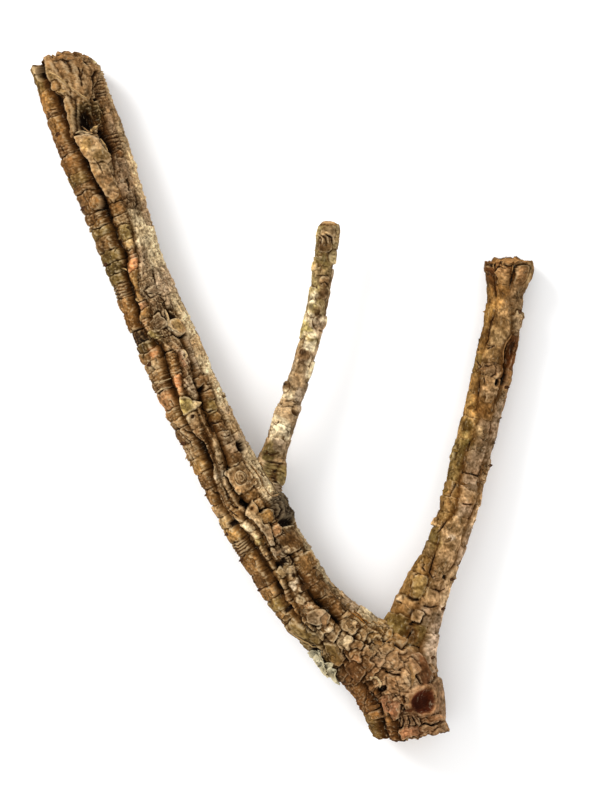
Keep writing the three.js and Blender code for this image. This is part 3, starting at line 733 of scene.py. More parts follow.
ORANGE_COLUMN = [
    (-200, 297, 1.5, "tan", 0.6, 0.3), (-197, 286, 1.2, "olive", 0.8), (-190, 273, 1, "tan", 0.8, 0.2),
    (-184, 258, 0.5, "pale gold", 0.4), (-172, 225, 1, "cream", 0.4), (-156, 182, 1, "gold", 0.8, 0.2),
    (-151, 171, 2.4, "ochre", 1.3, 0.2), (-146, 160, 2.6, "tan", 0.8, 1),
    (-142, 152, 2.8, "olive", 1.7), (-138, 139.5, 2.6, "pale gold", 1.8, 0.05),
    (-134, 131, 2.2, "brown", 0.5), (-134, 125.5, 2.2, "pink", 0.9), (-135, 120.5, 1, "orange", 1.6),
    (-134, 111, 2.4, "gold", 1.4, 0.2), (-133, 102, 1.6, "gold", 1.4, 0.3),
    (-132, 93, 1.4, "gold", 1.3, 0.2), (-127, 84.5, 3, "pink", 1.3), (-122, 77, 1.8, "gold", 1.6, 0.05),
    (-122, 66.5, 2.6, "orange tan", 1.3, 0.5), (-117, 58, 2.6, "olive yellow", 0.6),
    (-111, 50, 2.4, "tan", 0.7, 0.3), (-99, 41, 3.2, "ochre", 1.6, 0.8),
    (-97, 29, 1, "ochre", 1.5, 0.7), (-95, 18.5, 2.2, "orange", 1.5),
    (-93, 8, 2.2, "orange tan", 0.7, 0.2), (-88, 1, 2.6, "olive yellow", 0.6),
    (-82, -15, 2, "tan", 0.5, 0.2), (-76, -29, 2.2, "brown", 0.4, 0.4),
    (-67, -44, 1.4, "brown", 0.3, 0.4), (-62, -60, 1.4, "tan", 0.3, 0.2),
    (-56, -77, 1.8, "brown", 0.4, 0.3), (-47, -98, 2.2, "ochre", 0.6, 0.4),
    (-36, -111, 2.6, "cream", 1.1), (-26, -119.5, 2.6, "light tan", 1, 0.4),
    (-21, -126, 2, "olive yellow", 1.1, 0.2), (-19, -132, 2.2, "tan", 1, 0.5),
    (-14, -145, 2.8, "pale gold", 1), (-8, -154, 2, "pale gold", 1.1, 0.2),
    (-2, -162, 1.8, "light tan", 1, 0.2), (3, -171, 2.8, "brown", 0.8, 0.4),
    (7, -180, 2, "ochre", 0.7, 0.3), (10, -188, 2.4, "ochre", 0.6, 0.3),
    (17, -196, 1.6, "tan", 0.8, 0.4), (29, -208, 2, "ochre", 0.8, 0.4), (42, -220, 2.4, "olive", 1),
    (54, -232, 2.4, "ochre", 1.1), (66, -246, 2.4, "brown", 1, 0.2), (76, -258, 2.2, "ochre", 0.7),
    (84, -268, 2, "pink", 0.8), (90, -281, 2, "gold", 0.8), (95, -291, 1.2, "deep ochre", 0.8),
]
MIDDLE_PLATES = [
    (-176, 300, 1.2, "tan", 0.6, 0.4), (-172, 282, 1, "light tan", 0.5, 0.3),
    (-165, 258, 0.5, "ochre", 0.3, 0.4), (-150, 218, 1, "grey pink", 0.9),
    (-145, 204, 1, "grey tan", 0.9), (-142, 190, 0.8, "grey pink", 0.9),
    (-136, 177, 1.2, "grey brown", 0.8, 0.2), (-133, 167, 0.5, "cream", 0.9),
    (-127, 150, 0.3, "cream", 0.9), (-125, 134, 0.3, "grey pink", 0.9),
    (-122, 120, 0.3, "grey tan", 0.9, 0.2), (-120, 104, 0.4, "grey tan", 0.9),
    (-118, 91, 1, "grey brown", 0.8, 0.2), (-112, 73, 1.4, "grey brown", 0.8, 0.2),
    (-108, 57, 1.8, "grey brown", 0.3, 0.3), (-99, 53, 1.2, "tan", 0.8, 0.2),
    (-92, 44, 1.4, "pink", 0.5, 0.6), (-85, 26, 1.2, "grey brown", 0.5, 0.4),
    (-80, 10, 1, "grey pink", 0.6, 0.4), (-76, -4, 1.8, "brown", 0.3, 0.3),
    (-72, -16, 1.8, "tan", 0.6, 0.2), (-66, -27, 1.6, "brown", 0.7, 0.2),
    (-60, -36, 1.6, "light tan", 0.8, 0.2), (-56, -49, 1.4, "light tan", 0.8, 0.2),
    (-53, -60, 2, "grey brown", 0.5, 0.2), (-49, -70, 1.8, "light tan", 0.7, 0.3),
    (-45, -82, 1.4, "light tan", 0.8, 0.4), (-41, -93, 2, "tan", 0.8, 0.4),
    (-28, -106, 2, "light tan", 0.8), (-14, -120, 1.6, "grey brown", 0.5, 0.2),
    (-9, -133, 1.6, "grey brown", 0.2, 0.2), (0, -143, 2.2, "black", -0.8, 0.2),
    (3, -151, 2, "tan", 0.5, 0.2), (10, -160, 1.6, "brown", 0.4, 0.2),
    (16, -173, 1.6, "brown", 0.7, 0.2), (23, -184, 1.8, "brown", 0.7, 0.2),
    (32, -190, 1.4, "grey tan", 0.9), (38, -201, 1.8, "ochre", 0.6, 0.3),
    (50, -212, 1.6, "light tan", 0.7), (66, -224, 1.8, "ochre", 0.8), (80, -238, 1.8, "tan", 0.8),
    (90, -258, 3, "dark brown", 0.2, 0.2), (96, -268, 2, "pink", 0.8),
    (101, -282, 1.6, "deep ochre", 0.7), (104, -296, 1.6, "brown", 0.6),
]
RIGHT_BLOCKS = [
    (-166, 300, 1.5, "cream", 0.5, 0.5), (-163, 290, 1.2, "tan", 0.8, 1.4),
    (-160, 269, 1.6, "tan", 0.6, 0.3), (-154, 252, 1, "grey pink", 0.8, 0.2),
    (-152, 236, 1.8, "brown", 0.9, 1.2), (-147, 221, 2, "brown", 0.3, 0.2),
    (-144, 214, 1.2, "grey pink", 0.9), (-138, 197, 1, "grey tan", 0.9),
    (-134, 183, 0.8, "grey tan", 0.8, 0.2), (-128, 168, 0.8, "cream", 0.9),
    (-121, 150, 0.3, "cream", 0.8), (-116, 132, 0.3, "cream", 0.9, 0.2),
    (-111, 115, 0.3, "grey pink", 0.8), (-107, 99, 1, "grey pink", 1),
    (-103, 89, 1.2, "grey tan", 0.8, 0.2), (-97, 78, 1, "light tan", 0.3, 0.2),
    (-86, 55, 1, "grey pink", 0.4, 0.4), (-80, 40, 1, "grey pink", 0.5, 0.5),
    (-72, 18, 3, "brown", 1, 0.3), (-68, 5, 3.4, "brown", 1.7, 0.3), (-65, -4, 2.8, "olive", 1.6, 0.2),
    (-62, -14.5, 2.2, "ochre", 1.6, 0.2), (-59, -23, 2.6, "brown", 1.5, 0.15),
    (-54, -32, 3, "grey tan", 1.7), (-48, -42, 1.8, "grey tan", 1.7, 0.2),
    (-45, -51, 1.4, "brown", 1.5, 0.2), (-42, -60.5, 3, "cream", 0.9, 0),
    (-41, -64.5, 1.2, "brown", 1.4), (-34, -80, 2.6, "ochre", 1.7), (-22, -91, 3, "ochre", 1.7),
    (-15, -100, 3, "gold", 1.8), (-7, -113, 2.8, "orange tan", 1), (2, -121, 1.4, "brown", 1.3),
    (18, -138.5, 2.6, "ochre", 1.6), (25, -150, 1, "brown", 1.6), (32, -162, 1.4, "brown", 1.5),
    (40, -173, 1.8, "brown", 1.5, 0.15), (47, -182, 1.6, "brown", 1.4),
    (55, -191, 2.2, "tan", 1.3, 0.3), (66, -204, 1.8, "tan", 0.8, 0.3),
    (80, -214, 1.6, "tan", 0.8, 0.2), (94, -225, 2, "tan", 0.9), (103, -240, 2.2, "light tan", 0.9),
    (112, -262, 2.2, "tan", 0.8, 0.3), (114, -282, 2.2, "grey brown", 0.8, 0.9),
    (118, -297, 1.6, "pink", 0.8),
]
for strip, rows in ((1, LEFT_BARRELS), (2, ORANGE_COLUMN), (3, MIDDLE_PLATES), (4, RIGHT_BLOCKS)):
    crack_across(main, strip, read_cracks(main_path, rows, usual=0.1))

# The strips at the edges and underneath, whose cracks the photograph doesn't show.
EDGE_TINTS = ["cream", "light tan", "cream", "grey pink", "cream"]
UNDER_TINTS = ["brown", "ochre", "grey tan", "olive", "tan", "grey brown"]
crack_across(main, 5, chance_cracks(main, 5, 15, 0.9, EDGE_TINTS, rings=0.2))
for strip in (0, 6, 7, 8):
    crack_across(main, strip, chance_cracks(main, strip, 14, 2.6, UNDER_TINTS, rings=0.3))
open_furrows(main)

# How the faces differ along the limb: y of the place, then the amount, for each strip.
FINE_CRACKS = {2: [(262, 0), (200, 0.2)], 3: [(225, 1.0), (60, 1.1), (20, 0.8), (-80, 0.7), (-120, 0)],
               4: [(225, 1.0), (65, 1.0), (20, 0), (-200, 0)],
               5: [(225, 1.0), (-90, 1.0), (-130, 0.5), (-230, 0.2)]}
SCALES = {1: [(-225, 0), (-245, 0.5), (-275, 0)], 2: [(-190, 0), (-215, 0.9), (-262, 0.9), (-280, 0.3)],
          3: [(-196, 0), (-208, 1.2), (-258, 1.1), (-280, 0.5)],
          4: [(-196, 0), (-212, 1.2), (-245, 1.0), (-275, 0.3)],
          5: [(-200, 0), (-222, 1.0), (-262, 0.6), (-285, 0.1)]}


def along_limb(bark, rows):
    """An amount for each strip, read along the limb by its y."""
    values = np.zeros(bark.s.shape)
    for k, places in rows.items():
        ys, amounts = zip(*sorted(places))
        mine = bark.strip == k
        values[mine] = np.interp(bark.y[mine], ys, amounts)
    return values


def ring_wrinkles(bark, spacing, height):
    """Rings round the blocks like stacked coins, deeper where a block is marked as ringed, with painted
    shade in their grooves.
    """
    wave = (bark.s + 2.0 * bark.noise(12, 61, 2) + 0.5 * bark.noise(4, 60, 2)) * 2 * math.pi / spacing
    sharp = 1 - 2 * abs(np.sin(wave / 2)) ** 0.7
    strength = bark.ringed * (0.75 + 0.5 * bark.noise(9, 62, 2))
    bark.lift -= height * strength * sharp
    bark.darken(EVERYWHERE, np.clip(0.6 * strength * smooth(0.3, 1.0, sharp), 0, 0.75))


ring_wrinkles(main, spacing=3.0, height=0.75)

# A net of fine cracks and fibres on the smoother faces, with painted shade in them.
fine = along_limb(main, FINE_CRACKS)
split, own, along = main.cells(8.5, 4.6, 0.5, size=8, octaves=3, seed=63, pattern=15, boxy=0.3)
gap = rounded_gap(split * 5, 0.05, 0.6)
flaked = smooth(-0.1, 0.7, main.noise(11, 65, 2))
main.lift += fine * (0.5 * (own - 0.5) + 0.5 * along - 0.5 * gap * flaked)
main.darken(EVERYWHERE, 0.5 * fine * gap**1.5 * flaked)
main.skin *= (1 + 0.2 * fine * (own - 0.5))[..., None]
fibres = 1 - abs(main.noise(3.2, 66, 3, stretch=3.5))
main.lift -= 0.7 * fine * smooth(0.78, 1.0, fibres)
main.darken(EVERYWHERE, 0.5 * fine * smooth(0.86, 1.0, fibres) * (1 - flaked))
main.lift += 0.5 * fine * smooth(0.7, 1.0, 1 - abs(main.noise(4.5, 58, 3, stretch=2.5)))

# Small loose flakes all over, each lifted at its upper edge.
split, own, along = main.cells(5.5, 5, 0.6, size=7, octaves=3, seed=56, pattern=25, boxy=0.3)
loose = smooth(0.45, 0.7, own) * smooth(-0.5, 0.5, main.noise(16, 55, 2))
main.lift += 0.8 * loose * (0.5 - along) * smooth(0.02, 0.08, split)
main.skin *= (1 + 0.12 * loose)[..., None]
main.lift += 0.8 * main.noise(10, 67, 3) + 0.36 * main.noise(2.6, 68, 3)

# Overlapping scales towards the butt, like tiles laid from the limb's underside upwards, with painted
# shade in the gaps between them.
SCALE_LONG, SCALE_WIDE = 9.5, 9
split, own, along = main.cells(SCALE_LONG, SCALE_WIDE, 0.25, size=8, octaves=2, seed=69, pattern=5,
                               boxy=0.35)
scaly = along_limb(main, SCALES)
scale_gap = rounded_gap(split * SCALE_WIDE, 0.2, 1.0)
main.lift += scaly * (2.0 * (own - 0.5) + 3.2 * along
                      - 0.5 * rounded_gap(split * SCALE_WIDE, 0.15, 1.5))
main.darken(EVERYWHERE, 0.4 * np.clip(scaly, 0, 1) * scale_gap
            * smooth(-0.4, 0.5, main.noise(6, 59, 2)))
SCALE_TINTS = ["tan", "ochre", "light tan", "brown", "grey tan", "deep ochre", "tan", "cream"]
scale_colours = np.array([TINTS[tint] for tint in SCALE_TINTS], float)[(own * 7.99).astype(int)]
main.skin += (scale_colours - main.skin) * (0.85 * smooth(0.2, 0.7, scaly))[..., None]

# The marks that the photograph shows, one by one from the top end to the butt. Each is placed by
# its x and y in mm on the upper face, or by a row of such points. Length and width come next.

# The broken top: one sheet of folded fibrous bark with dark splits, and a black notch at its left.
pit(main, -217, 290, 13, 9, -8, 7)
lump(main, -223, 295, 8, 6, 0, 1, "cream")
plate(main, [(-213, 306), (-198, 309), (-180, 308), (-167, 303), (-166, 288), (-169, 272), (-172, 262),
      (-181, 262), (-190, 266), (-201, 270), (-207, 279), (-211, 291)], 2.2, "tan", 0.12, 4, 0.8)
patch(main, -205, 286, 18, 11, -5, "olive", 0.8)
patch(main, -197, 273, 12, 9, 0, "olive", 0.8)
patch(main, -186, 299, 12, 16, 0, "ochre", 0.6)
for fold in (
        [(-207, 303), (-202, 292), (-195, 280), (-190, 268)], [(-200, 305), (-193, 294), (-190, 286)],
        [(-194, 288), (-189, 278), (-186, 266)], [(-190, 304), (-185, 293), (-184, 284)],
        [(-183, 290), (-183, 277), (-180, 265)], [(-178, 303), (-176, 290), (-177, 276), (-175, 264)]):
    ridge(main, fold, 2.2, 1.3, "light tan")
for fold in ([(-204, 300), (-198, 290), (-196, 284)], [(-196, 303), (-190, 297), (-188, 290)],
             [(-192, 282), (-188, 274), (-187, 264)], [(-184, 297), (-181, 291), (-181, 284)],
             [(-179, 296), (-180, 284), (-178, 274)], [(-202, 272), (-195, 268), (-190, 262)]):
    crack(main, fold, 0.8, 1.6, 0.7)
for fold in ([(-207, 306), (-200, 302), (-192, 299)], [(-202, 306), (-196, 302.5), (-190, 301)]):
    crack(main, fold, 0.8, 2.4, 0.9, "red brown")
UPPER_SPLINTER = [(-209, 292), (-200, 287), (-191, 279)]
ridge(main, UPPER_SPLINTER, 0.8, 1.2, "cream")
LOWER_SPLINTER = [(-198, 284), (-190, 277), (-180, 268), (-172, 262)]
ridge(main, LOWER_SPLINTER, 0.7, 1.4, "cream")
lump(main, -202, 279, 11, 8, 0, 2.6, "ochre", 0.1, 4, 0.8, 1.2)
pit(main, -178, 304, 7, 4, 10, 4)
crack(main, [(-168, 300), (-170, 288), (-168, 272)], 1.5, 3.4)
pit(main, -165.5, 265.5, 3.5, 5.5, 0, 4)

# The knot hole under it: folded lips, a floor painted black as shade, a splinter and a nub, and the lip
# at its left.
pit(main, -171, 248, 30, 29, -15, 5, 0.8, 0.15, "deep olive")
pit(main, -173, 245.5, 24, 22, -10, 7, 0, 0.35, "deep olive")
pit(main, -176, 242, 17, 15, -10, 3, 0, 1, "black")
for lip in ([(-180, 257), (-173, 261), (-165, 259), (-159, 251), (-158, 242)],
            [(-176, 252), (-169, 254), (-164, 249), (-163, 243)]):
    ridge(main, lip, 1.2, 1.6, "dark olive")
crack(main, [(-183.5, 266), (-183, 256), (-184, 246)], 0.9, 2.4)
ridge(main, [(-178, 240), (-173, 236), (-169, 233)], 0.8, 2.5, "grey pink")
lump(main, -166, 237.5, 6, 4, 0, 1.6, "cream", 0, 1.6)
plate(main,
      [(-193, 272), (-188, 266), (-184.5, 252), (-183, 236), (-187, 231), (-190, 246), (-193.5, 260)],
      3.4, "pale gold", 0.2, 2.4, 1.0)
# This deep gap is painted dark brown as shade cast by the plate beside it.
pit(main, -156, 228, 27, 9, 12, 5, 0, 0.8, "dark brown")

# The curled plate below the hole, the long golden ridge that it runs into, and the nub beside it.
plate(main, [(-172, 214), (-163, 210), (-155, 209), (-152, 201), (-148, 190), (-145, 180), (-149, 171),
             (-156, 178), (-164, 190), (-170, 203)], 2.6, "light tan", 0.1, 2.2, 0.5)
plate(main, [(-185, 232), (-177, 233.5), (-169, 233), (-163, 229), (-160, 223), (-155, 219),
      (-152, 211), (-155, 206), (-160, 209), (-165, 207), (-171, 209), (-176, 214), (-181, 224)], 4.2,
      "light tan", 0.1, 1.6, 0.7)
patch(main, -173, 225, 10, 9, 0, "olive", 0.8)
patch(main, -161, 214, 11, 14, 20, "dark olive", 0.8)
patch(main, -166, 221, 5, 9, 30, "cream", 0.8)
patch(main, -160, 203, 8, 9, 0, "cream", 0.85)
patch(main, -154, 192, 9, 8, 0, "brown", 0.8)
patch(main, -161, 194, 9, 5, 0, "tan", 0.8)
patch(main, -151, 181, 8, 6, 0, "grey pink", 0.8)
ridge(main, [(-184, 230), (-178, 219), (-173, 208), (-168, 199), (-162, 189), (-155, 181)], 2, 0.9,
      "gold")
ridge(main, [(-184, 232), (-176, 233), (-169, 232.5)], 0.9, 1.2, "white")
ridge(main, [(-169, 232), (-161, 228), (-157, 222)], 1.2, 1, "white")
crack(main, [(-168, 213), (-162, 205), (-158, 196)], 0.6, 0.8)
lump(main, -166, 172.5, 13.5, 13.5, 0, 4.6, "ochre", 0, 6.5, 1, 1.4)
patch(main, -177, 182.5, 3, 3, 0, "white", 0.9)
patch(main, -179, 170, 14, 5, 0, "grey brown", 0.9)

# Marks on the grey face to the right of them.
crack(main, [(-138, 196), (-136, 189), (-137, 182)], 0.9, 2)
crack(main, [(-134, 190), (-131, 182), (-129, 172), (-131, 168)], 0.9, 1.6)
patch(main, -138, 174, 10, 13, 0, "grey brown", 0.9)
patch(main, -142, 193, 4, 5, 0, "white", 0.9, 0.4)
patch(main, -151, 196, 6, 7, 0, "brown", 0.7)
lump(main, -114.5, 94, 8, 11, 10, 1.7, "grey pink", 0, 1.6, 0.3)
crack(main, [(-120, 91), (-112, 91), (-106, 90)], 0.7, 1.4)
crack(main, [(-115, 114), (-113, 106), (-112, 100)], 0.8, 1.6)
lump(main, -109.5, 65, 13, 14, 20, 1.9, "grey brown", 0.3, 1.8, 0.4)
ridge(main, [(-117, 60), (-111, 57), (-104, 59)], 0.8, 1, "light tan")
for net_line in ([(-109, 90), (-104, 84), (-101, 78)], [(-104, 91), (-103, 85), (-107, 80)],
                 [(-101, 88), (-98, 82), (-94, 78)], [(-110, 84), (-105, 82), (-99, 80)]):
    crack(main, net_line, 0.6, 1.2)

# The bean-shaped lump in its hollow, with a curl of pale bark round it. The hollow is darkened as
# painted shade.
pit(main, -93, 66, 33, 17, 8, 5, 0, 0.95)
lump(main, -92.8, 62, 18, 11, 12, 4, "brown", 0, 6, 0.95, 1.4)
patch(main, -94, 63, 12, 8, 10, "olive", 0.7)
LONG_CURL = [(-103.5, 77), (-100.5, 69), (-101, 63), (-97, 58), (-92, 54)]
ridge(main, LONG_CURL, 1.4, 2.6, "white")
ridge(main, [(-99, 78), (-92, 73), (-87, 67)], 1, 1.6, "light tan")
for fibre in (
        [(-100, 50), (-92, 44), (-86, 36)], [(-96, 52), (-89, 47), (-83, 38)],
        [(-103, 46), (-95, 41), (-89, 40)], [(-92, 56), (-87, 50), (-84, 44)],
        [(-90, 40), (-85, 30), (-80, 24)], [(-84, 34), (-79, 26), (-73, 20)]):
    ridge(main, fibre, 0.9, 1.5, "grey pink")
SHORT_CURL = [(-88, 41), (-85, 36), (-86, 32)]
ridge(main, SHORT_CURL, 1.4, 1.4, "white")

# Patches on the left row: orange cork where the bark has flaked, a cream scar, and pale crescents.
patch(main, -126, 53, 11, 10, 0, "black", 0.8)
patch(main, -114, 39, 12, 7, 10, "orange", 0.95)
patch(main, -117, 38, 9, 3, 5, "red", 0.45)
patch(main, -115, 27, 10, 10, 0, "cream", 0.85)
UPPER_CRESCENT = [(-113, 13), (-106, 13), (-99, 15.5)]
ridge(main, UPPER_CRESCENT, 0.9, 1.3, "white")
LOWER_CRESCENT = [(-110, 4), (-105, 7), (-100, 7.5)]
ridge(main, LOWER_CRESCENT, 1, 1.3, "white")
ridge(main, [(-131, 86), (-128, 84.5)], 1.2, 1.4, "cream")
ridge(main, [(-143, 113), (-138, 112.5)], 0.9, 1.3, "cream")
ridge(main, [(-130, 85), (-126, 80), (-127, 77)], 0.9, 0.8, "orange")
crack(main, [(-99, -3), (-96, -9)], 0.8, 2)

# The middle: a pointed olive plate with a ringed pit, a hollow, and weathered spots.
for pale_line in (
        [(-82, 19), (-79, 12), (-76, 5)], [(-87, 16), (-83, 10), (-78, 6)],
        [(-84, 8), (-80, 4), (-77, 2)]):
    ridge(main, pale_line, 1.1, 1.6, "grey pink")
pit(main, -72.5, 11, 14, 8, 10, 4.5, 0, 0.95)
lump(main, -70, 14.5, 9, 11, 0, 0.8, "brown", 0.1)
plate(main,
      [(-91, 1), (-84, -1), (-77, -4), (-69.5, -5), (-75, -10), (-81, -13.5), (-86, -17), (-90, -11)],
      2.0, "olive yellow", 0.05)
patch(main, -77, -7, 7, 9, 40, "cream", 0.75)
patch(main, -84, -8, 10, 6, 0, "olive", 0.7)
pit(main, -79, -18, 4, 4, 0, 2.2, 0.6, 0.7, "red brown")
patch(main, -84, -21, 9, 7, 0, "cream", 0.8)
ridge(main, [(-73, -30), (-69, -28), (-66, -26)], 0.8, 1.2, "white")
crack(main, [(-77, -36), (-70, -44), (-66, -56), (-62, -68)], 2, 4)
patch(main, -56, -64, 10, 11, 0, "grey brown", 0.85)
patch(main, -56, -70, 4, 12, 0, "white", 0.8, 0.4)
patch(main, -61, -64, 8, 3, 0, "cream", 0.8)
for slope in (
        [(-92, -30), (-84, -37), (-79, -46)], [(-88, -28), (-80, -34), (-74, -42)],
        [(-86, -44), (-80, -54), (-77, -63)]):
    crack(main, slope, 0.9, 1.8)
    ridge(main, [(x + 2.2, y + 1.5) for x, y in slope], 0.9, 0.8, "tan")
# This deep pit's floor is painted black as shade.
pit(main, -36.5, -43.5, 12, 8, 0, 8, 0.5, 1, "black")
for crack_line in ([(-70, -10), (-65, -14), (-60, -12)], [(-62, -22), (-58, -24), (-53, -22)],
                   [(-54, -34), (-50, -36), (-46, -34)]):
    crack(main, crack_line, 0.7, 1.4)

# The square block with an eye, the pale fibres beside it, and the pointed ridge below.
ridge(main, [(-49, -66), (-43, -62), (-36, -59.5)], 1.6, 1.4, "cream")
lump(main, -36, -72, 24, 20, 5, 2.6, "tan", 0, 2.4, 0.25, 1.2)
patch(main, -29, -75, 14, 8, 5, "brown", 0.7)
lump(main, -37, -71.5, 13, 10, 5, 2.7, "tan", 0.4, 1.5, 1, 0.8)
for fibre in (
        [(-33, -55), (-28, -66), (-22, -78)], [(-29, -56), (-24, -66), (-18, -78)],
        [(-26, -60), (-20, -70), (-14, -80)], [(-30, -66), (-25, -76), (-19, -86)],
        [(-24, -70), (-17, -82), (-13, -88)], [(-48, -66), (-45, -78), (-42, -88)],
        [(-53, -76), (-47, -86), (-43, -94)], [(-57, -72), (-52, -82), (-48, -92)]):
    ridge(main, fibre, 0.9, 1.3, "light tan")
for split_line in (
        [(-52, -80), (-49, -88), (-44, -96)], [(-47, -94), (-43, -98), (-39, -99)],
        [(-58, -82), (-53, -90), (-50, -96)], [(-65, -80), (-56, -91), (-46, -102), (-36, -108)]):
    crack(main, split_line, 0.9, 1.8)
ridge(main, [(-50, -103), (-42, -108), (-33, -111)], 1.1, 1.4, "light tan")
pit(main, -34, -95, 12, 7, 30, 6)
pit(main, -15, -108, 19, 5, -8, 7)
pit(main, -44, -113, 6, 10, 0, 5)
plate(main, [(-26, -91), (-22, -97), (-19, -104), (-12, -112), (-8.5, -120), (-6.5, -131), (-10, -132),
             (-14, -124), (-20, -116), (-26, -110), (-32, -105), (-31, -98)], 3, "light tan", 0.05)
# Painted shade: the grey-brown patch on the lower-left half of the pointed plate.
patch(main, -15, -118, 15, 6, 10, "grey brown", 0.85)
pit(main, -26.7, -99, 4, 4, 0, 1.4, 0.8, 0.7, "brown")
lump(main, -13.5, -106, 13, 11, 0, 2, "gold", 0, 4)
lump(main, -4.5, -118, 10, 7.5, 0, 1.8, "orange tan", 0, 2.6)

# The burl below the twig: dark wrinkled bark round a hole.
BURL_RISE = 4.5
burl_rows, burl, _ = main.inside_block(2, -98, 32, 21, 0, 1.0, 1.0)
main.lift[burl_rows] += BURL_RISE * smooth(-2, 8, burl)
main.paint(burl_rows, 0.95 * smooth(-1, 2.5, burl), "dark grey")
for wrinkle in ([(-8, -86), (-3, -92), (1, -99), (2, -104)], [(-4, -85), (2, -91), (6, -98), (7, -105)],
                [(1, -84), (7, -92), (11, -100)], [(-7, -94), (-4, -101), (-4, -109)]):
    crack(main, wrinkle, 1.1, 3)
    ridge(main, [(x + 2, y) for x, y in wrinkle], 0.9, 1.6, "grey brown")
pit(main, 5, -111.5, 8, 12, -15, 6, 0.8)
pit(main, -1, -97, 3.5, 3, 0, 3)
ridge(main, [(-9, -92), (-5, -98), (-5, -107)], 1.2, 1.4, "grey tan")

# The lower middle: smooth brown blocks, and pale and dark spots between them and the ridge.
lump(main, 9, -127, 19, 19, 0, 1.8, "brown", 0, 3.5, 0.4)
lump(main, 22, -147, 16, 15, 0, 2, "ochre", 0, 3.5, 0.4)
ridge(main, [(14, -141), (19, -139.5), (25, -136.5)], 0.9, 1.3, "cream")
ridge(main, [(7, -133), (12, -138), (14, -146)], 1, 1.4, "light tan")
pit(main, -1, -147, 9, 15, 0, 3.5, 0, 0.9)
patch(main, -10, -130.5, 6, 5, 0, "grey pink", 0.9, 1.6)
lump(main, -6.5, -138, 10, 4.5, 15, 0.8, "grey pink", 0, 1.4)
lump(main, -0.5, -155, 11, 8, 20, 1, "pale gold", 0, 2)
pit(main, -6, -147.5, 5, 5, 0, -1.6, 0.8, 0, "white")
pit(main, -6, -147.5, 2, 2, 0, 1.5, 0, 0.9)
patch(main, 3, -147.5, 4, 4, 0, "white", 0.9, 1.6)
SCARS = [  # pale corky spots: x, y, length, width, tint
    (2.8, -136, 9, 8, "cream"), (6, -154, 6, 6, "white"), (9.5, -167, 10, 6, "white"),
    (13.8, -162.5, 6, 5, "white"), (15.5, -170, 5, 5, "cream"), (16, -179, 11, 6, "cream"),
    (24.5, -185, 4.5, 4.5, "white"), (27, -190, 3, 3, "cream"), (31.5, -203, 3.5, 4, "white"),
    (41, -205, 10, 5, "white"), (43, -192.5, 6, 6, "grey pink"), (57, -216, 9, 9, "cream"),
]
for x, y, long, wide, tint in SCARS:
    patch(main, x, y, long, wide, 10, tint, 0.85, 1.1)
pit(main, 10.3, -157.5, 4, 4, 0, 1.5, 0.9, 0.6, "grey brown")
patch(main, 19.3, -165, 7, 4, 10, "red", 0.85)
pit(main, 28.5, -202, 5, 6, 0, 2.5, 0.8)
plate(main, [(20, -190), (30, -187), (38, -188), (43, -193), (40, -200), (31, -202), (22, -199)], 2,
      "grey tan", 0.1)
crack(main, [(13.5, -189), (16, -196), (17, -203), (19, -207)], 0.9, 2.6)
pit(main, 4, -189.5, 4, 8, 0, 3.5)
pit(main, -4, -169, 12, 7, 0, 3.5, 0, 0.8)
crack(main, [(29, -179), (36, -184), (43, -190), (49, -197), (55, -202)], 2.4, 4.5)
lump(main, 59, -202, 15, 12, 0, 1.8, "light tan", 0.25, 3)
plate(main, [(37, -218), (46, -218), (56, -232), (52, -239), (42, -233)], 1.6, "olive", 0.05)

# The butt: separate scales, the slit, the knot hole, and the folds of the lower edge.
BUTT_SCALES = [  # x, y, length, width, turn, tint
    (57, -217, 9, 9, 0, "cream"), (65, -220, 8, 8, 0, "brown"), (64, -228, 7, 8, 0, "ochre"),
    (76, -227, 9, 9, 0, "tan"), (74, -236, 10, 10, 0, "ochre"), (65, -233, 6, 6, 0, "orange tan"),
    (84, -220, 9, 8, 0, "tan"), (93, -224, 9, 10, 0, "light tan"), (91, -234, 13, 8, 20, "cream"),
    (84, -233, 8, 5, 0, "grey tan"), (101, -233, 11, 10, -10, "tan"), (110, -230, 9, 9, 0, "light tan"),
    (65, -243, 13, 10, 0, "brown"), (101, -253, 15, 14, -35, "tan"),
    (109, -256, 14, 9, -20, "light tan"), (117, -256, 20, 7, 8, "cream"),
    (123, -242, 16, 9, 0, "red brown"), (114, -240, 9, 7, 0, "light tan"),
    (118, -264, 9, 12, 30, "cream"), (113, -275, 6, 6, 0, "tan"), (94, -271, 14, 8, 0, "pink"),
    (101, -277, 14, 8, 0, "pink"), (84, -284, 8, 6, 0, "gold"), (97, -213, 8, 8, 0, "gold"),
    (103, -217.5, 11, 11, 10, "ochre"),
]
for x, y, long, wide, turn, tint in BUTT_SCALES:
    rise = 1.4 + 1.6 * hashed(x, y, 4)
    lump(main, x, y, 1.35 * long, 1.35 * wide, turn, rise, tint, 0.1, 4, 0.5, 0.8)
for fold in (
        [(96, -250), (103, -254), (112, -254)], [(96, -257), (105, -261), (114, -262)],
        [(108, -246), (113, -254), (114, -264)]):
    crack(main, fold, 0.7, 1, 0.5)
crack(main, [(91, -242), (98, -245.5), (106, -246.5)], 1, 3.5)
pit(main, 88, -259, 9, 12, 0, 5, 0, 0.95)
pit(main, 74, -217, 5, 5, 0, 2, 0.9, 0.8)
for black_line in (
        [(98, -262), (104, -268), (108, -275)], [(106, -272), (106, -284), (104, -294)],
        [(88, -270), (88, -284), (89, -297)], [(74, -262), (74, -272), (76, -280)],
        [(78, -214), (84, -222), (88, -229)], [(106, -264), (112, -268), (119, -268)]):
    crack(main, black_line, 0.7, 1.8, 0.55)
lump(main, 141, -273, 36, 18, 0, 1.8, "grey pink", 0.1, 9, 1, 0.2)
for x, y, long, wide, tint in ((134, -287.5, 7, 19, "orange tan"),
                               (133, -296, 8, 20, "tan"), (143, -299, 9, 12, "grey pink"),
                               (114, -289, 17, 14, "grey brown"), (115, -300, 10, 17, "pink")):
    lump(main, x, y, 1.2 * long, 1.15 * wide, 0, 2.2, tint, 0.25, 4, 0.7, 1)
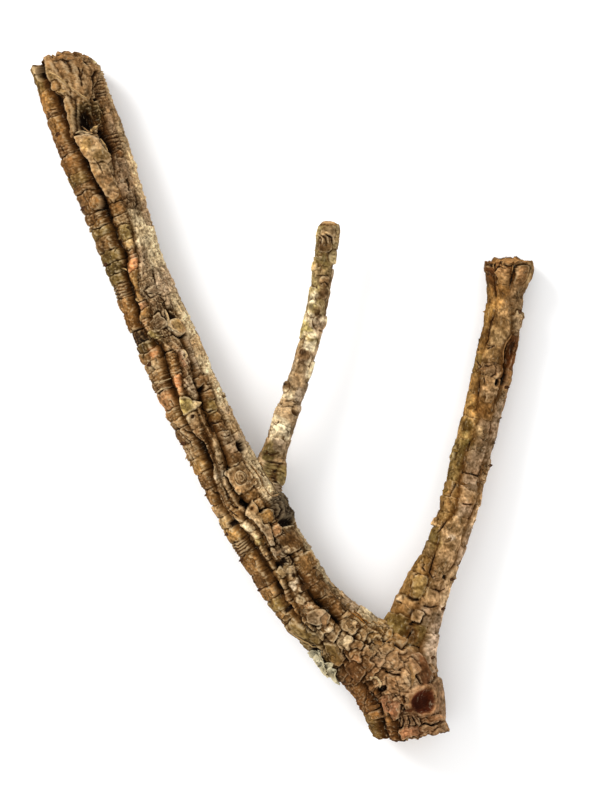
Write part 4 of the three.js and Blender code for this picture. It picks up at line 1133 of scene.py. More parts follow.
for rib in (
        [(108, -284), (109, -290), (107, -297)], [(112, -283), (114, -290), (113, -297)],
        [(115, -283), (118, -289), (120, -294)]):
    crack(main, rib, 0.8, 1.8)
crack(main, [(125, -292), (133, -291.5), (141, -291)], 1, 3)
crack(main, [(138, -289), (144, -289), (149, -286)], 1.1, 3)
EYE_RIM, EYE_DEPTH = 2.6, 6
eye_rows, eye, _ = main.inside_block(125, -271, 19, 20, 0, 1.0, 0.4)
main.raise_to(eye_rows, smooth(-5, -2, eye), 0.8)
main.hollow[eye_rows] *= 1 - smooth(-5, -2, eye)
main.lift[eye_rows] += EYE_RIM * np.exp(-(((eye + 1.8) / 2.2) ** 2))
main.paint(eye_rows, smooth(-5, -1, eye), "tan")
main.paint(eye_rows, smooth(-0.8, 0.8, eye), "red")
main.lift[eye_rows] -= EYE_DEPTH * smooth(-0.5, 6, eye)
main.hollow[eye_rows] *= 1 - smooth(-1, 1, eye)
# Painted shade darkens the knot hole towards its floor.
main.darken(eye_rows, 0.5 * smooth(4, 8, eye))
patch(main, 88, -207, 16, 24, 0, "gold", 0.8)
patch(main, 94, -205, 6, 8, 0, "red brown", 0.6)
for fibre in (
        [(80, -200), (86, -206), (90, -214)], [(84, -200), (91, -207), (96, -214)],
        [(90, -202), (96, -208), (99, -214)], [(64, -190), (70, -196), (78, -202)],
        [(60, -188), (67, -197), (74, -206)]):
    ridge(main, fibre, 0.9, 1.4, "gold")
pit(main, 128, -222, 8, 13, 0, 4, 0, 0.9)
lump(main, 20, -211, 30, 9, 20, 2.6, "olive", 0, 5, 0.9, 0.6)
pit(main, 30, -227, 15, 8, 0, 4.5, 0, 0.95)
crack(main, [(96, -219), (104, -226), (113, -221), (119, -212)], 1.4, 4)

# Where the side limb and the twig run: x, y, z, half width, half depth. They're set out here,
# because the main limb's bark swells round their roots.
SIDE_STATIONS = [
    (205, 124, 19.5, 20.8, 20.5), (205, 112, 19.5, 21.8, 21), (202.3, 96, 20, 17.2, 17),
    (200.3, 76, 20.5, 16.6, 16.5), (193.6, 37, 22, 17.6, 16.5), (182.4, -7, 24, 17, 16),
    (171, -52, 26, 17.4, 16.5), (160.8, -93, 28, 17, 16.5), (148, -133, 30, 16.8, 17),
    (131.5, -169, 32, 19.8, 18.5), (116.5, -210, 34, 24.5, 21), (110, -255, 34, 26, 22),
]
TWIG_STATIONS = [
    (42, 156, 36, 9, 8.8), (41.8, 147, 36, 10.4, 10), (39.8, 132, 36, 10, 9.6), (37, 116, 36, 9.1, 8.8),
    (34.6, 98, 36, 9.3, 8.8), (31, 78, 36, 9.2, 8.8), (26.6, 58, 35.5, 9.4, 8.8),
    (22, 40, 35.5, 8.9, 8.8), (17, 21, 35, 9.5, 8.8), (10.3, 2, 35, 9.1, 9), (4, -16, 34.5, 10.3, 9.8),
    (-2.5, -36, 34, 10.9, 10.4), (-9, -59, 33, 12, 11.4), (-15, -85, 32, 13, 12),
]
side_path = limb_path(SIDE_STATIONS)
twig_path = limb_path(TWIG_STATIONS)
flare(main, side_path, reach=9, height=3.5)
flare(main, twig_path, reach=6, height=2.2)
mottle_and_paint_shading(main)

# The top end is a little darker and redder than the middle, the damp butt more so.
# The burl is dark all through, its knot hole red-brown with painted shade deeper in, and the flank at
# the right paler.
top_end = smooth(150, 190, main.y)[..., None]
damp_butt = smooth(-212, -236, main.y)[..., None]
main.skin[burl_rows] *= 1 - 0.4 * smooth(-1, 2.5, burl)[..., None]
main.paint(eye_rows, 0.35 * smooth(0.2, 3, eye), "red")
main.darken(eye_rows, 0.3 * smooth(2, 7, eye))
pale_flank = (main.strip == 5) * smooth(-130, -90, main.y) * smooth(235, 215, main.y)
main.skin *= 1 + (0.13 * pale_flank)[..., None]
main.skin *= 1 - top_end * (0.07, 0.11, 0.15) - damp_butt * (0.08, 0.14, 0.18)

# The broken ends: how far each side of the rim is cut back, how hollow and rough the break is.
MAIN_TOP = {"left": 3, "right": 20, "upper": 2, "lower": 3, "dish": 2.5, "rough": 2.4, "ragged": 2.2,
            "wood": "tan"}
MAIN_BUTT = {"left": 12, "right": -4, "upper": 3, "lower": 4, "dish": 3, "rough": 2.4, "ragged": 1.6,
             "wood": "tan"}


# The finish of dry, matt, grainy bark. It reads the tints and the places of painted shade that the
# relief gave each point, and adds grain, pores and a rough face from noise, along the limb's own length.
class Finish:
    """A procedural material, built node by node."""

    def __init__(self, name):
        self.material = bpy.data.materials.new(name)
        self.material.use_nodes = True
        self.tree = self.material.node_tree
        self.shader = self.tree.nodes["Principled BSDF"]

    def node(self, kind, **inputs):
        """A new node, with values or other nodes' outputs plugged into its inputs."""
        made = self.tree.nodes.new(kind)
        for key, value in inputs.items():
            self.plug(made.inputs[key.replace("_", " ")], value)
        return made

    def plug(self, socket, value):
        if isinstance(value, bpy.types.NodeSocket):
            self.tree.links.new(value, socket)
        else:
            socket.default_value = value

    def attribute(self, name, output="Fac"):
        made = self.tree.nodes.new("ShaderNodeAttribute")
        made.attribute_name = name
        return made.outputs[output]

    def sum(self, operation, a, b):
        made = self.tree.nodes.new("ShaderNodeMath")
        made.operation = operation
        self.plug(made.inputs[0], a)
        self.plug(made.inputs[1], b)
        return made.outputs[0]

    def spread(self, value, low, high):
        """A soft step from 0 at low to 1 at high."""
        made = self.node("ShaderNodeMapRange", Value=value, From_Min=low, From_Max=high)
        made.interpolation_type = "SMOOTHSTEP"
        return made.outputs[0]

    def ramp(self, value, stops):
        made = self.node("ShaderNodeValToRGB", Fac=value)
        while len(made.color_ramp.elements) < len(stops):
            made.color_ramp.elements.new(0.5)
        for element, (place, colour) in zip(made.color_ramp.elements, stops):
            element.position = place
            element.color = (*linear(colour), 1)
        return made.outputs["Color"]

    def mix(self, amount, below, above, blend="MIX"):
        made = self.tree.nodes.new("ShaderNodeMix")
        made.data_type = "RGBA"
        made.blend_type = blend
        self.plug(made.inputs["Factor"], amount)
        for socket, value in ((made.inputs[6], below), (made.inputs[7], above)):
            self.plug(socket, (*linear(value), 1) if isinstance(value, tuple) else value)
        return made.outputs[2]

    def noise(self, vector, scale, detail, roughness, stretch=(1, 1, 1)):
        """Noise of a scale per metre, with stretch times more of it along each axis."""
        spread = self.node("ShaderNodeVectorMath", Vector=vector)
        spread.operation = "MULTIPLY"
        spread.inputs[1].default_value = stretch
        made = self.node("ShaderNodeTexNoise", Vector=spread.outputs[0], Scale=scale, Detail=detail)
        made.inputs["Roughness"].default_value = roughness
        return made.outputs["Fac"]


GRAIN_DEPTH = 0.0012


def bark_finish(name, grain_depth=1.0, contrast=1.0):
    """Dry bark: its tints broken up by fine grain, pores and streaks, painted shade deepened in the
    cracks, with a matt rough face.
    """
    finish = Finish(name)
    straight = finish.attribute("straight", "Vector")
    skin = finish.attribute("skin", "Color")
    speck = finish.noise(straight, 620, 4, 0.7)
    rings = finish.noise(straight, 330, 5, 0.65, (2.6, 0.8, 0.8))
    fibres = finish.noise(straight, 330, 5, 0.65, (0.5, 1.7, 1.7))
    ringed = finish.spread(finish.attribute("ringed"), 0.08, 0.4)
    grain = finish.node("ShaderNodeMix", Factor=ringed, A=fibres, B=rings).outputs[0]
    blotch = finish.noise(straight, 110, 3, 0.6)
    dark_grain = finish.ramp(
        grain, [(0.30, (146, 130, 112)), (0.46, (240, 236, 230)), (0.60, (255, 255, 255))])
    colour = finish.mix(0.7 * contrast, skin, dark_grain, "MULTIPLY")
    dark_speck = finish.ramp(speck, [(0.34, (120, 98, 76)), (0.48, (255, 255, 255))])
    colour = finish.mix(0.4 * contrast, colour, dark_speck, "MULTIPLY")
    pale = finish.sum("MULTIPLY", finish.spread(grain, 0.56, 0.72), 0.3 * contrast)
    colour = finish.mix(pale, colour, (226, 204, 164))
    warm = finish.ramp(
        blotch, [(0.35, (255, 244, 228)), (0.5, (255, 255, 255)), (0.68, (240, 244, 250))])
    colour = finish.mix(0.6, colour, warm, "MULTIPLY")
    # Painted shade: the places marked hollow are darkened further, unevenly.
    uneven = finish.sum("MULTIPLY", finish.sum("SUBTRACT", speck, 0.5), 0.6)
    hollow = finish.sum("ADD", finish.attribute("hollow"), uneven)
    deep = finish.sum("MULTIPLY", finish.spread(hollow, 0.5, 1.0), 0.6)
    colour = finish.mix(deep, colour, (24, 14, 8))
    finish.plug(finish.shader.inputs["Base Color"], colour)
    finish.shader.inputs["Roughness"].default_value = 0.9
    finish.shader.inputs["Specular IOR Level"].default_value = 0.06
    relief = finish.sum("ADD", grain, finish.sum("MULTIPLY", speck, 0.5))
    bump = finish.node("ShaderNodeBump", Height=relief, Strength=1.0)
    bump.inputs["Distance"].default_value = GRAIN_DEPTH * grain_depth
    finish.plug(finish.shader.inputs["Normal"], bump.outputs[0])
    return finish.material


corky_bark = bark_finish("corky_bark")
for part in range(MAIN_PARTS):
    main_bark = bark_mesh(main, f"main_limb_bark_{part + 1}", MAIN_TOP, MAIN_BUTT,
                          part * PART_RINGS, (part + 1) * PART_RINGS)
    main_bark.data.materials.append(corky_bark)
    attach(main_bark, "root")
    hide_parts("main_limb")


# Flakes, curls and splinters of the main limb's bark: dry corky scraps that have come loose.
# Each is a thin strip with a domed back, still grown to the limb at its root and lifted at its tip.
SECTION = [  # round a strip: across, outwards, and how bright it is painted: painted shade at its lower edges, a painted highlight on one side of its back
    (-1, 0, 0.35), (1, 0, 0.35), (0.8, 1, 0.85), (0, 1.3, 1), (-0.8, 1, 1.1),
]
DRY = (0.84, 0.76, 0.64)  # how a loose scrap's tint is dulled
DARKEST_UNDER = 75  # a scrap by chance grows on no darker place


class Flakes:
    """Thin strips of loose bark that stand off a limb, gathered into one mesh."""

    def __init__(self, bark):
        self.bark, self.points, self.faces, self.skin = bark, [], [], []

    def on_bark(self, s, theta, off):
        """A point off the bark at a place along and round the limb, and the way out from it."""
        bark = self.bark
        ring = int(np.clip(round(s / bark.step), 0, bark.s.shape[0] - 1))
        column = np.argmin(abs(bark.theta[ring] - theta))
        centre, _, right, upper, a, b = limb_at(bark.limb, np.array(float(s)))
        out = right * math.sin(theta) + upper * math.cos(theta)
        on = centre + right * math.sin(theta) * a + upper * math.cos(theta) * b
        return on + out * (min(bark.lift[ring, column], 4.0) + off), out

    def strip(self, places, root, tip, wide, tint, thick, seed):
        """A strip through places along and round the limb, standing off more towards its tip."""
        s, theta = np.array(places, float).T[:2]
        steps = 3 * len(places)
        t = np.linspace(0, 1, steps)
        known = np.linspace(0, 1, len(places))
        s, theta = np.interp(t, known, s), np.interp(t, known, theta)
        offs = root + (tip - root) * t * t
        ons, outs = map(np.array, zip(*[self.on_bark(*place) for place in zip(s, theta, offs)]))
        first = len(self.points)
        ring = int(np.clip(s[0] / self.bark.step, 0, self.bark.s.shape[0] - 1))
        under = self.bark.skin[ring, np.argmin(abs(self.bark.theta[ring] - theta[0]))]
        if tint:
            colour = np.array(TINTS[tint], float) * DRY
        else:
            colour = 0.8 * under * max(1, 90 / under.max()) + (14, 8, 2)
        for k in range(steps):
            ahead = ons[min(k + 1, steps - 1)] - ons[max(k - 1, 0)]
            side = np.cross(ahead, outs[k])
            side /= np.linalg.norm(side) + 1e-9
            taper = min(1, 0.55 + 2 * t[k]) * min(1, 0.3 + 2.2 * (1 - t[k]))
            half = wide / 2 * taper * (0.75 + 0.5 * hashed(k, seed, 12))
            shade = 0.8 + 0.3 * hashed(k, seed, 14)
            # Each point takes the section's painted shade or highlight.
            for across, up, painted_shading in SECTION:
                self.points.append(ons[k] + side * half * across + outs[k] * thick * (up - 0.8))
                self.skin.append(colour * painted_shading * shade)
        round_it = len(SECTION)
        for start in range(first, first + (steps - 1) * round_it, round_it):
            for j in range(round_it):
                here, over = start + j, start + (j + 1) % round_it
                self.faces.append((here, over, over + round_it, here + round_it))
        self.faces.append(tuple(range(first + round_it - 1, first - 1, -1)))
        self.faces.append(tuple(range(first + (steps - 1) * round_it, first + steps * round_it)))

    def across_face(self, points, root, tip, wide, tint):
        """A strip through points x, y of the upper face."""
        places = [place_under(self.bark.limb, x, y) for x, y in points]
        self.strip(places, root, tip, wide, tint, thick=0.7, seed=points[0][0])

    def by_chance(self, count, low, high, spread, wide, long, seed):
        """Loose flakes at chance places between two distances along the limb, none in a dark hole."""
        for k in range(count):
            s = low + (high - low) * hashed(k, 1, seed)
            theta = math.radians(spread) * (2 * hashed(k, 2, seed) - 1)
            turn = 2 * math.pi * hashed(k, 3, seed)
            ring = int(s / self.bark.step)
            under = self.bark.skin[ring, np.argmin(abs(self.bark.theta[ring] - theta))]
            if under.max() < DARKEST_UNDER:
                continue
            reach = long * (0.6 + 0.8 * hashed(k, 4, seed))
            on, round_it = reach * math.cos(turn), reach * math.sin(turn) / self.bark.radius
            places = [(s, theta), (s + on / 2, theta + round_it / 2), (s + on, theta + round_it)]
            tip, width = 0.6 + 1.2 * hashed(k, 6, seed), wide * (0.6 + 0.8 * hashed(k, 7, seed))
            self.strip(places, 0.1, tip, width, None, thick=0.6, seed=k)

    def piece(self, name, material, node):
        """The mesh of all the strips, riding with the limb that they grow on."""
        points = np.array(self.points) / MM
        mesh = bpy.data.meshes.new(name)
        mesh.from_pydata(points.tolist(), [], self.faces)
        colour_points(mesh, np.array(self.skin))
        per_point(mesh, "straight", "FLOAT_VECTOR", points)
        mesh.materials.append(material)
        made = add_object(name, mesh)
        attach(made, "root")
        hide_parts(node)


MAIN_FLAKES = [  # points x, y, how far the root and the tip stand off, width, tint
    ([(78, -247), (84, -248), (88, -253), (86, -258)], 1.5, 3.5, 2.4, "white"),
    ([(-179, 241), (-173, 237), (-168, 233)], 2, 3, 1.4, "grey pink"),
    ([(-185, 234), (-177, 236), (-169, 233)], 3, 4.2, 1.5, "white"),
    ([(-162, 229), (-157, 222), (-152, 214)], 3, 4.2, 1.8, "cream"),
    ([(-170, 236), (-165, 240)], 2.5, 4.5, 3.2, "cream"),
    ([(-131, 87), (-126, 84)], 1.5, 3, 1.6, "cream"),
    ([(-143, 114), (-138, 112)], 1.5, 3, 1.4, "cream"),
    ([(-22, -60), (-14, -76), (-6, -89)], 1, 2.2, 1.8, "cream"),
    ([(-27, -62), (-19, -77), (-11, -90)], 0.8, 1.8, 1.6, "light tan"),
    ([(-18, -58), (-12, -68), (-5, -79)], 0.8, 1.8, 1.5, "light tan"),
    ([(60, -188), (67, -197), (74, -206)], 0.8, 1.8, 1.5, "gold"),
    ([(64, -190), (71, -197), (78, -202)], 0.8, 1.8, 1.4, "gold"),
    ([(80, -200), (85, -206), (90, -214)], 0.8, 1.8, 1.5, "pale gold"),
    ([(110, -238), (114, -246), (113, -256)], 1.2, 2.6, 4, "light tan"),
    (LONG_CURL, 2, 3.4, 2.4, "white"), (SHORT_CURL, 1, 2.6, 2.4, "white"),
    (UPPER_CRESCENT, 1.2, 2, 1.2, "white"), (LOWER_CRESCENT, 1.2, 2, 1.2, "white"),
    (UPPER_SPLINTER, 1.6, 2.4, 1.1, "cream"), (LOWER_SPLINTER, 1.6, 2.8, 1, "cream"),
    ([(-204, 300), (-196, 303), (-188, 300)], 1, 2.6, 4, "tan"),
    ([(12, -208), (24, -218), (36, -229)], 1.6, 2.4, 1.6, "cream"),
    ([(42, -190), (36, -196), (38, -204)], 0.8, 2.4, 6, "grey pink"),
]
main_flakes = Flakes(main)
for points, root, tip, wide, tint in MAIN_FLAKES:
    main_flakes.across_face(points, root, tip, wide, tint)
DARK_FLAKES = [
    (-50, -123), (-37, -146), (-20, -172), (-89, -42), (-179, 168), (-201, 234), (-158, 118),
    (-118, 28),
]
for x, y in DARK_FLAKES:
    main_flakes.across_face([(x + 3, y + 1.5), (x, y)], 0.2, 1.6, 3.4, "dark brown")
butt_from, butt_to = 0.66 * main_path["length"], 0.96 * main_path["length"]
main_flakes.by_chance(110, butt_from, butt_to, spread=80, wide=4.5, long=7.0, seed=31)
main_flakes.by_chance(110, 50, butt_from, spread=85, wide=2.6, long=4.5, seed=32)
main_flakes.piece("main_limb_flakes", corky_bark, "main_limb")

# The lichen: a small leafy grey-green rosette on the left flank of the butt, with lobed free edges.
# It is a soft growth, held to the bark by its middle, and its edges curl off it.
LOBES = [  # along the limb from its middle, angle round the limb in degrees, radius, lift of its edge
    (-12, -72, 5.5, 2.2), (-5, -68, 6.5, 2.6), (3, -74, 6.5, 3), (9, -64, 6.5, 2.4), (15, -70, 5, 2.2),
    (-9, -60, 4.5, 1.5), (2, -58, 5, 1.6),
]
LICHEN_MIDDLE = (39, -238)
lichen_s = place_under(main_path, *LICHEN_MIDDLE)[0]
lichen = Flakes(main)
SPOKES, RINGS = 40, 7  # points round each lobe, and rings of them out to its edge
LOBE_THICK = 0.8
for number, (along, angle, radius, lift) in enumerate(LOBES):
    first = len(lichen.points)
    for side, drop in ((0, 0.0), (1, LOBE_THICK)):
        for ring in range(RINGS):
            share = (ring + 0.3) / (RINGS - 0.7)
            for spoke in range(SPOKES):
                turn = 2 * math.pi * spoke / SPOKES
                scallop = 1 + 0.18 * math.sin(3 * turn + number) + 0.08 * math.sin(7 * turn + 2 * number)
                r = radius * share * (scallop if share > 0.4 else 1)
                theta = math.radians(angle) + r * math.cos(turn) / main.radius
                ripple = 0.4 * share * math.sin(4 * turn + number)
                off = 1.6 + 0.25 * number % 1 + lift * share**2.2 + ripple - drop
                on, out = lichen.on_bark(lichen_s + along + r * math.sin(turn), theta, off)
                lichen.points.append(on)
                pale = 0.66 + 0.26 * share**2 - 0.45 * side + 0.08 * hashed(spoke, ring, number)
                lichen.skin.append(np.clip(np.array(TINTS["lichen"], float) * pale, 0, 240))
    for side in (0, 1):
        base = first + side * RINGS * SPOKES
        for ring in range(RINGS - 1):
            for spoke in range(SPOKES):
                here, over = base + ring * SPOKES + spoke, base + ring * SPOKES + (spoke + 1) % SPOKES
                face = (here, here + SPOKES, over + SPOKES, over)
                lichen.faces.append(face[::-1] if side == 0 else face)
        middle = tuple(range(base, base + SPOKES))
        lichen.faces.append(middle if side == 0 else middle[::-1])
    for spoke in range(SPOKES):
        upper_rim = first + (RINGS - 1) * SPOKES + spoke
        over_rim = first + (RINGS - 1) * SPOKES + (spoke + 1) % SPOKES
        lower = RINGS * SPOKES
        lichen.faces.append((upper_rim, upper_rim + lower, over_rim + lower, over_rim))
lichen_finish = bark_finish("leafy_lichen", grain_depth=0.3, contrast=0.5)
lichen.piece("leafy_lichen", lichen_finish, "main_limb")

# The side limb: thinner and younger, in smooth flat plates of bark parted by reddish cracks.
# It forks off at the butt, where its bark swells into the main limb's, and ends in a broken flare.
LEFT_CRACK = [
    (189, 114, 2.2), (191, 100, 1.8), (192.5, 88, 1), (190.5, 73, 1.6), (187, 67, 1.8), (185.5, 59, 2),
    (185, 52, 1.8), (182, 44, 1.2), (179, 34, 1), (177, 15, 2), (175, 2, 2), (174, -12, 1.8),
    (177, -20, 1.5), (172.5, -27, 1.8), (172, -38, 1.8), (165, -46, 2), (162.5, -60, 2.2),
    (160, -71, 2.4), (157.5, -80, 2.4), (158.5, -89, 2.4), (156, -97, 2.2), (154, -106, 2),
    (147.5, -111, 1.8), (141, -119, 1.5), (137, -139, 2), (132.5, -151, 2.4), (131, -158, 2.4),
    (126, -172, 1.2), (121, -186, 2), (117, -197, 2.4), (114, -206, 2.4), (107, -224, 2),
]
RIGHT_CRACK = [
    (207, 118, 2.2), (206, 108, 2.2), (205, 99, 1.8), (205, 88, 0.6), (206, 75, 0.9), (207, 62, 1.8),
    (206, 54, 2), (201, 48, 2.6), (199.5, 38, 3.2), (199.5, 28, 3.6), (200, 20, 3.4), (197, 9, 2.8),
    (194.5, 0, 2.6), (191, -8, 2), (189, -22, 0.9), (187, -38, 0.9), (184, -50, 1.2), (180, -62, 2),
    (178, -71, 2), (177, -82, 1.8), (176, -92, 2), (172, -102, 2.2), (168, -111, 2), (165, -118, 1.8),
    (160, -135, 0.9), (155, -150, 1.8), (150, -157, 1.8), (143, -170, 1), (140, -188, 0.9),
    (132, -205, 1.2), (124, -222, 2.4),
]
SIDE_FURROWS = [(-118, 10, 2.2), LEFT_CRACK, RIGHT_CRACK, (92, 10, 2.0), (168, 12, 2.4)]
SIDE_COLUMNS = [32, 44, 40, 20, 18]
SIDE_RINGS = 601
SIDE_RADIUS = 17
side = Bark(side_path, SIDE_FURROWS, SIDE_COLUMNS, SIDE_RINGS, SIDE_RADIUS, seed=11)
CENTRE_PLATES = [
    (200, 122, 1.2, "orange tan", 0.6, 0.1), (198, 112, 1.2, "tan", 0.8, 0.1),
    (198, 101, 0.6, "ochre", 0.7, 0.1), (197, 89, 0.3, "tan", 0.5), (197, 77, 0.7, "tan", 0.7),
    (195, 60, 0.3, "light tan", 0.7), (191, 46, 1.2, "tan", 0.6, 0.1),
    (188, 29, 1.4, "grey tan", 0.9, 0.1), (187, 18, 1.8, "tan", 0.7, 0.1),
    (183, -1, 1, "ochre", 0.4, 0.1), (181, -20, 1, "grey tan", 0.6), (179, -39.5, 1.6, "grey tan", 0.8),
    (175, -49.5, 1.6, "grey tan", 0.8), (171, -70.5, 2.6, "grey tan", 0.9), (167, -84, 0.7, "tan", 0.8),
    (165, -96.5, 1.6, "grey tan", 0.8), (161, -109, 1, "tan", 0.6), (152, -121, 0.8, "tan", 0.4),
    (148, -136, 0.8, "tan", 0.6), (143, -150, 0.5, "tan", 0.7), (140, -159, 2.2, "tan", 0.3, 0.1),
    (132, -172, 1, "tan", 0.5), (127, -188, 1.6, "grey tan", 0.8), (120, -203, 2.2, "olive", 0.7),
    (112, -221, 2.8, "tan", 0.9),
]
LEFT_EDGE = [
    (187, 112, 1.6, "red brown", 0.6, 0.1), (188, 100, 0.6, "ochre", 0.6), (186, 84, 0.5, "gold", 0.5),
    (183, 64, 0.6, "ochre", 0.4), (176, 38, 0.8, "olive", 0.4, 0.1), (172, 22, 1.2, "ochre", 0.7, 0.1),
    (169, 4, 0.5, "gold", 0.4), (166, -18, 0.8, "gold", 0.4), (160, -38, 0.8, "olive", 0.4, 0.1),
    (156, -58, 1, "olive", 0.5, 0.1), (151, -76, 1.2, "gold", 0.6, 0.1),
    (148, -90, 1.4, "ochre", 0.6, 0.1), (144, -102, 1.2, "gold", 0.6, 0.1),
    (138, -117, 1.4, "olive", 0.5, 0.1), (134, -131, 1.4, "tan", 0.6, 0.1),
    (129, -144, 1, "gold", 0.6, 0.1), (123, -158, 2, "ochre", 0.9, 0.1),
    (115, -180, 2.6, "ochre", 0.8, 0.1), (108, -196, 1, "olive", 0.8),
    (100, -222, 2.4, "ochre", 0.9, 0.1),
]
RIGHT_EDGE = [
    (214, 120, 1.2, "tan", 0.7, 0.1), (214, 104, 0.8, "grey tan", 0.6, 0.1),
    (210, 88, 0.8, "grey tan", 0.4, 0.3), (211, 72, 1, "grey pink", 0.8, 0.4),
    (209, 55, 1.6, "red brown", -0.4, 0.1), (205, 40, 1.2, "red brown", -0.8, 0.1),
    (205, 24, 1.2, "tan", 0.2, 0.1), (200, 5, 1, "grey pink", 0.5), (194, -18, 0.6, "grey pink", 0.6),
    (190, -40, 0.8, "grey tan", 0.6), (184, -62, 1.4, "light tan", 0.9),
    (180, -78, 1.4, "tan", 0.7, 0.1), (176, -98, 1.6, "light tan", 0.6, 0.2),
    (169, -116, 1.2, "grey tan", 0.6, 0.1), (163, -134, 1, "grey pink", 0.6),
    (156, -152, 1.6, "light tan", 0.6, 0.1), (149, -170, 1, "light tan", 0.6, 0.2),
    (142, -188, 1.4, "grey pink", 0.7), (134, -212, 1.2, "grey pink", 0.7),
]
for strip, rows in ((0, LEFT_EDGE), (1, CENTRE_PLATES), (2, RIGHT_EDGE)):
    crack_across(side, strip, read_cracks(side_path, rows, usual=0.05))
SIDE_TINTS = ["tan", "grey tan", "ochre", "grey pink", "olive"]
for strip in (3, 4):
    crack_across(side, strip, chance_cracks(side, strip, 17, 1.6, SIDE_TINTS, 0.1, 0.4))
open_furrows(side, floor=0.35, shoulder=2.2, ragged=0.9)
ring_wrinkles(side, spacing=2.6, height=0.5)
side.lift += 0.7 * side.noise(17, 64, 2) + 0.4 * side.noise(6, 65, 3) + 0.16 * side.noise(2.2, 66, 3)
split, own, along = side.cells(11, 7, 0.4, size=9, octaves=2, seed=67, pattern=8, boxy=0.6)
thin = smooth(0.0, 0.5, side.noise(26, 69, 2) + 0.1)
side.lift -= 0.5 * thin * rounded_gap(split * 8, 0.1, 0.7)
# Painted shade in the thin cracks between the plates.
side.darken(EVERYWHERE, 0.5 * thin * rounded_gap(split * 8, 0.1, 0.6))
side.skin *= (1 + 0.14 * (own - 0.5))[..., None]
left_olive = smooth(-0.2, 0.9, -side.theta - 0.35 + 0.5 * side.noise(14, 70, 3))
left_olive = left_olive * smooth(-215, -150, side.y)
side.paint(EVERYWHERE, 0.45 * left_olive * (side.facing > -0.6), "olive")

# The flared tip: splayed plates with reddish folds between them.
lump(side, 187, 115, 13, 8, 0, 1.2, "red brown", 0.1, 2)
lump(side, 198, 110, 18, 11, 0, 1.6, "tan", 0.1, 2.4)
lump(side, 216, 110, 20, 12, 0, 1.6, "orange tan", 0.1, 3)
patch(side, 216, 108, 16, 9, 0, "grey brown", 0.55)
patch(side, 223, 112, 18, 5, 0, "cream", 0.8)
for tip_crack in ([(197, 125), (194, 118), (191, 111)], [(208, 120), (206.5, 110), (205, 100)],
                  [(188, 113), (191, 101), (192.5, 88)], [(184, 118), (188, 121), (192, 122)],
                  [(199, 122), (204, 120), (209, 121)]):
    crack(side, tip_crack, 0.8, 1.6, 0.6, "red brown")
for tip_ridge in (
        [(197, 126), (199, 120), (203, 117)], [(199, 123.5), (204, 122), (208, 123)],
        [(184, 120), (188, 119)]):
    ridge(side, tip_ridge, 0.8, 0.9, "light tan")
patch(side, 194, 85, 12, 9, 0, "gold", 0.85)
patch(side, 206, 86, 14, 10, 0, "grey brown", 0.7)

# The wrinkled knot at its right, the raised plate's edge and the recess, and the small hole.
lump(side, 213, 68, 17, 8, 0, 1.6, "grey pink", 0.35, 3, 0.8, 1.4)
patch(side, 212, 76, 7, 6, 0, "cream", 0.7)
pit(side, 205, 36, 28, 7, -8, 2.2, 0, 0.35, "red brown")
ridge(side, [(207, 56), (201, 48), (198.5, 40), (198.5, 30), (199, 23), (193, 18), (186.5, 16)], 1, 1.3,
      "light tan")
crack(side, [(203, 48), (201.5, 40), (201, 30), (201.5, 20), (198, 8)], 1.3, 2.4, 0.75, "red brown")
pit(side, 200, 15, 13, 4.5, -8, 3.5, 0, 0.9, "red brown")
pit(side, 193, 12.5, 7, 4.5, -10, 5)
plate(side, [(182, 3), (188, 7), (194, 8), (193, 1), (188, -7), (182, -5)], 1.2, "grey tan", 0.12, 1.4,
      1)
SIDE_CRACKS = [
    [(190.5, 73), (187, 67), (185.5, 59), (185, 52), (182, 46)], [(184, 43), (188, 44), (191, 46)],
    [(190, 30), (192, 25), (191, 20), (186, 16.5)], [(181, 28), (185, 27), (189, 28)],
    [(175, 33), (178, 27), (174, 22)], [(176.5, 15), (176, 8), (174.5, 1)], [(181, 17), (182, 12)],
    [(163, -69), (170, -70), (178, -72)], [(160, -96), (165, -97), (171, -96.5)],
    [(156, -77), (152, -85), (149.5, -91)], [(180, -62), (178.5, -67), (178, -73)],
    [(175, -95), (171, -104), (167, -112)], [(147.5, -110), (143, -116), (138, -123)],
    [(137, -138), (133, -150), (131, -157), (134, -162), (138, -160)],
    [(127, -149), (125, -153), (128, -157)], [(121, -160), (118, -160)], [(155, -150), (150, -157)],
    [(125, -187), (132, -188.5), (140, -187)],
    [(117, -189), (114, -194), (118, -200), (113, -203), (119, -204.5)],
    [(136, -172), (142, -175), (147, -171)], [(118, -207), (113, -213), (110, -220)],
    [(188, -25), (187, -35)], [(168, -40), (166, -50)],
]
for points in SIDE_CRACKS:
    crack(side, points, 0.7, 1.6, 0.85, "red brown")
patch(side, 165.5, -25.5, 12, 8, 0, "moss", 0.95)
patch(side, 164, -34, 6, 5, 0, "olive yellow", 0.8)
patch(side, 167, -43, 11, 4, 0, "green", 0.85)
patch(side, 170, -40, 9, 3, 0, "moss", 0.8)
patch(side, 156, -51, 17, 6, 0, "dark olive", 0.75)
patch(side, 176, -31, 11, 7, 10, "pale gold", 0.85, 0.4)
patch(side, 151, -126.5, 5.5, 7.5, 20, "white", 0.95, 0.6)
patch(side, 137, -124, 8, 8, 0, "dark olive", 0.85)
patch(side, 137, -133, 13, 9, 0, "olive", 0.75)
lump(side, 137.5, -112, 8, 5, 0, 1.6, "tan", 0.1, 2)
lump(side, 187, -61, 11, 5, 0, 2, "grey brown", 0, 4, 0.9, 0.6)
lump(side, 154, -50, 16, 6, 0, 1.8, "dark olive", 0, 5, 0.9, 0.4)
pit(side, 145.5, -162, 5, 5.5, 0, 2.8)
patch(side, 144.8, -163.5, 2, 2, 0, "white", 0.95, 1.5)
lump(side, 122, -170, 20, 13, 15, 2.2, "olive", 0.05, 7, 0.8, 0.3)
crack(side, [(111, -178), (116, -182), (122, -181)], 1.3, 3)
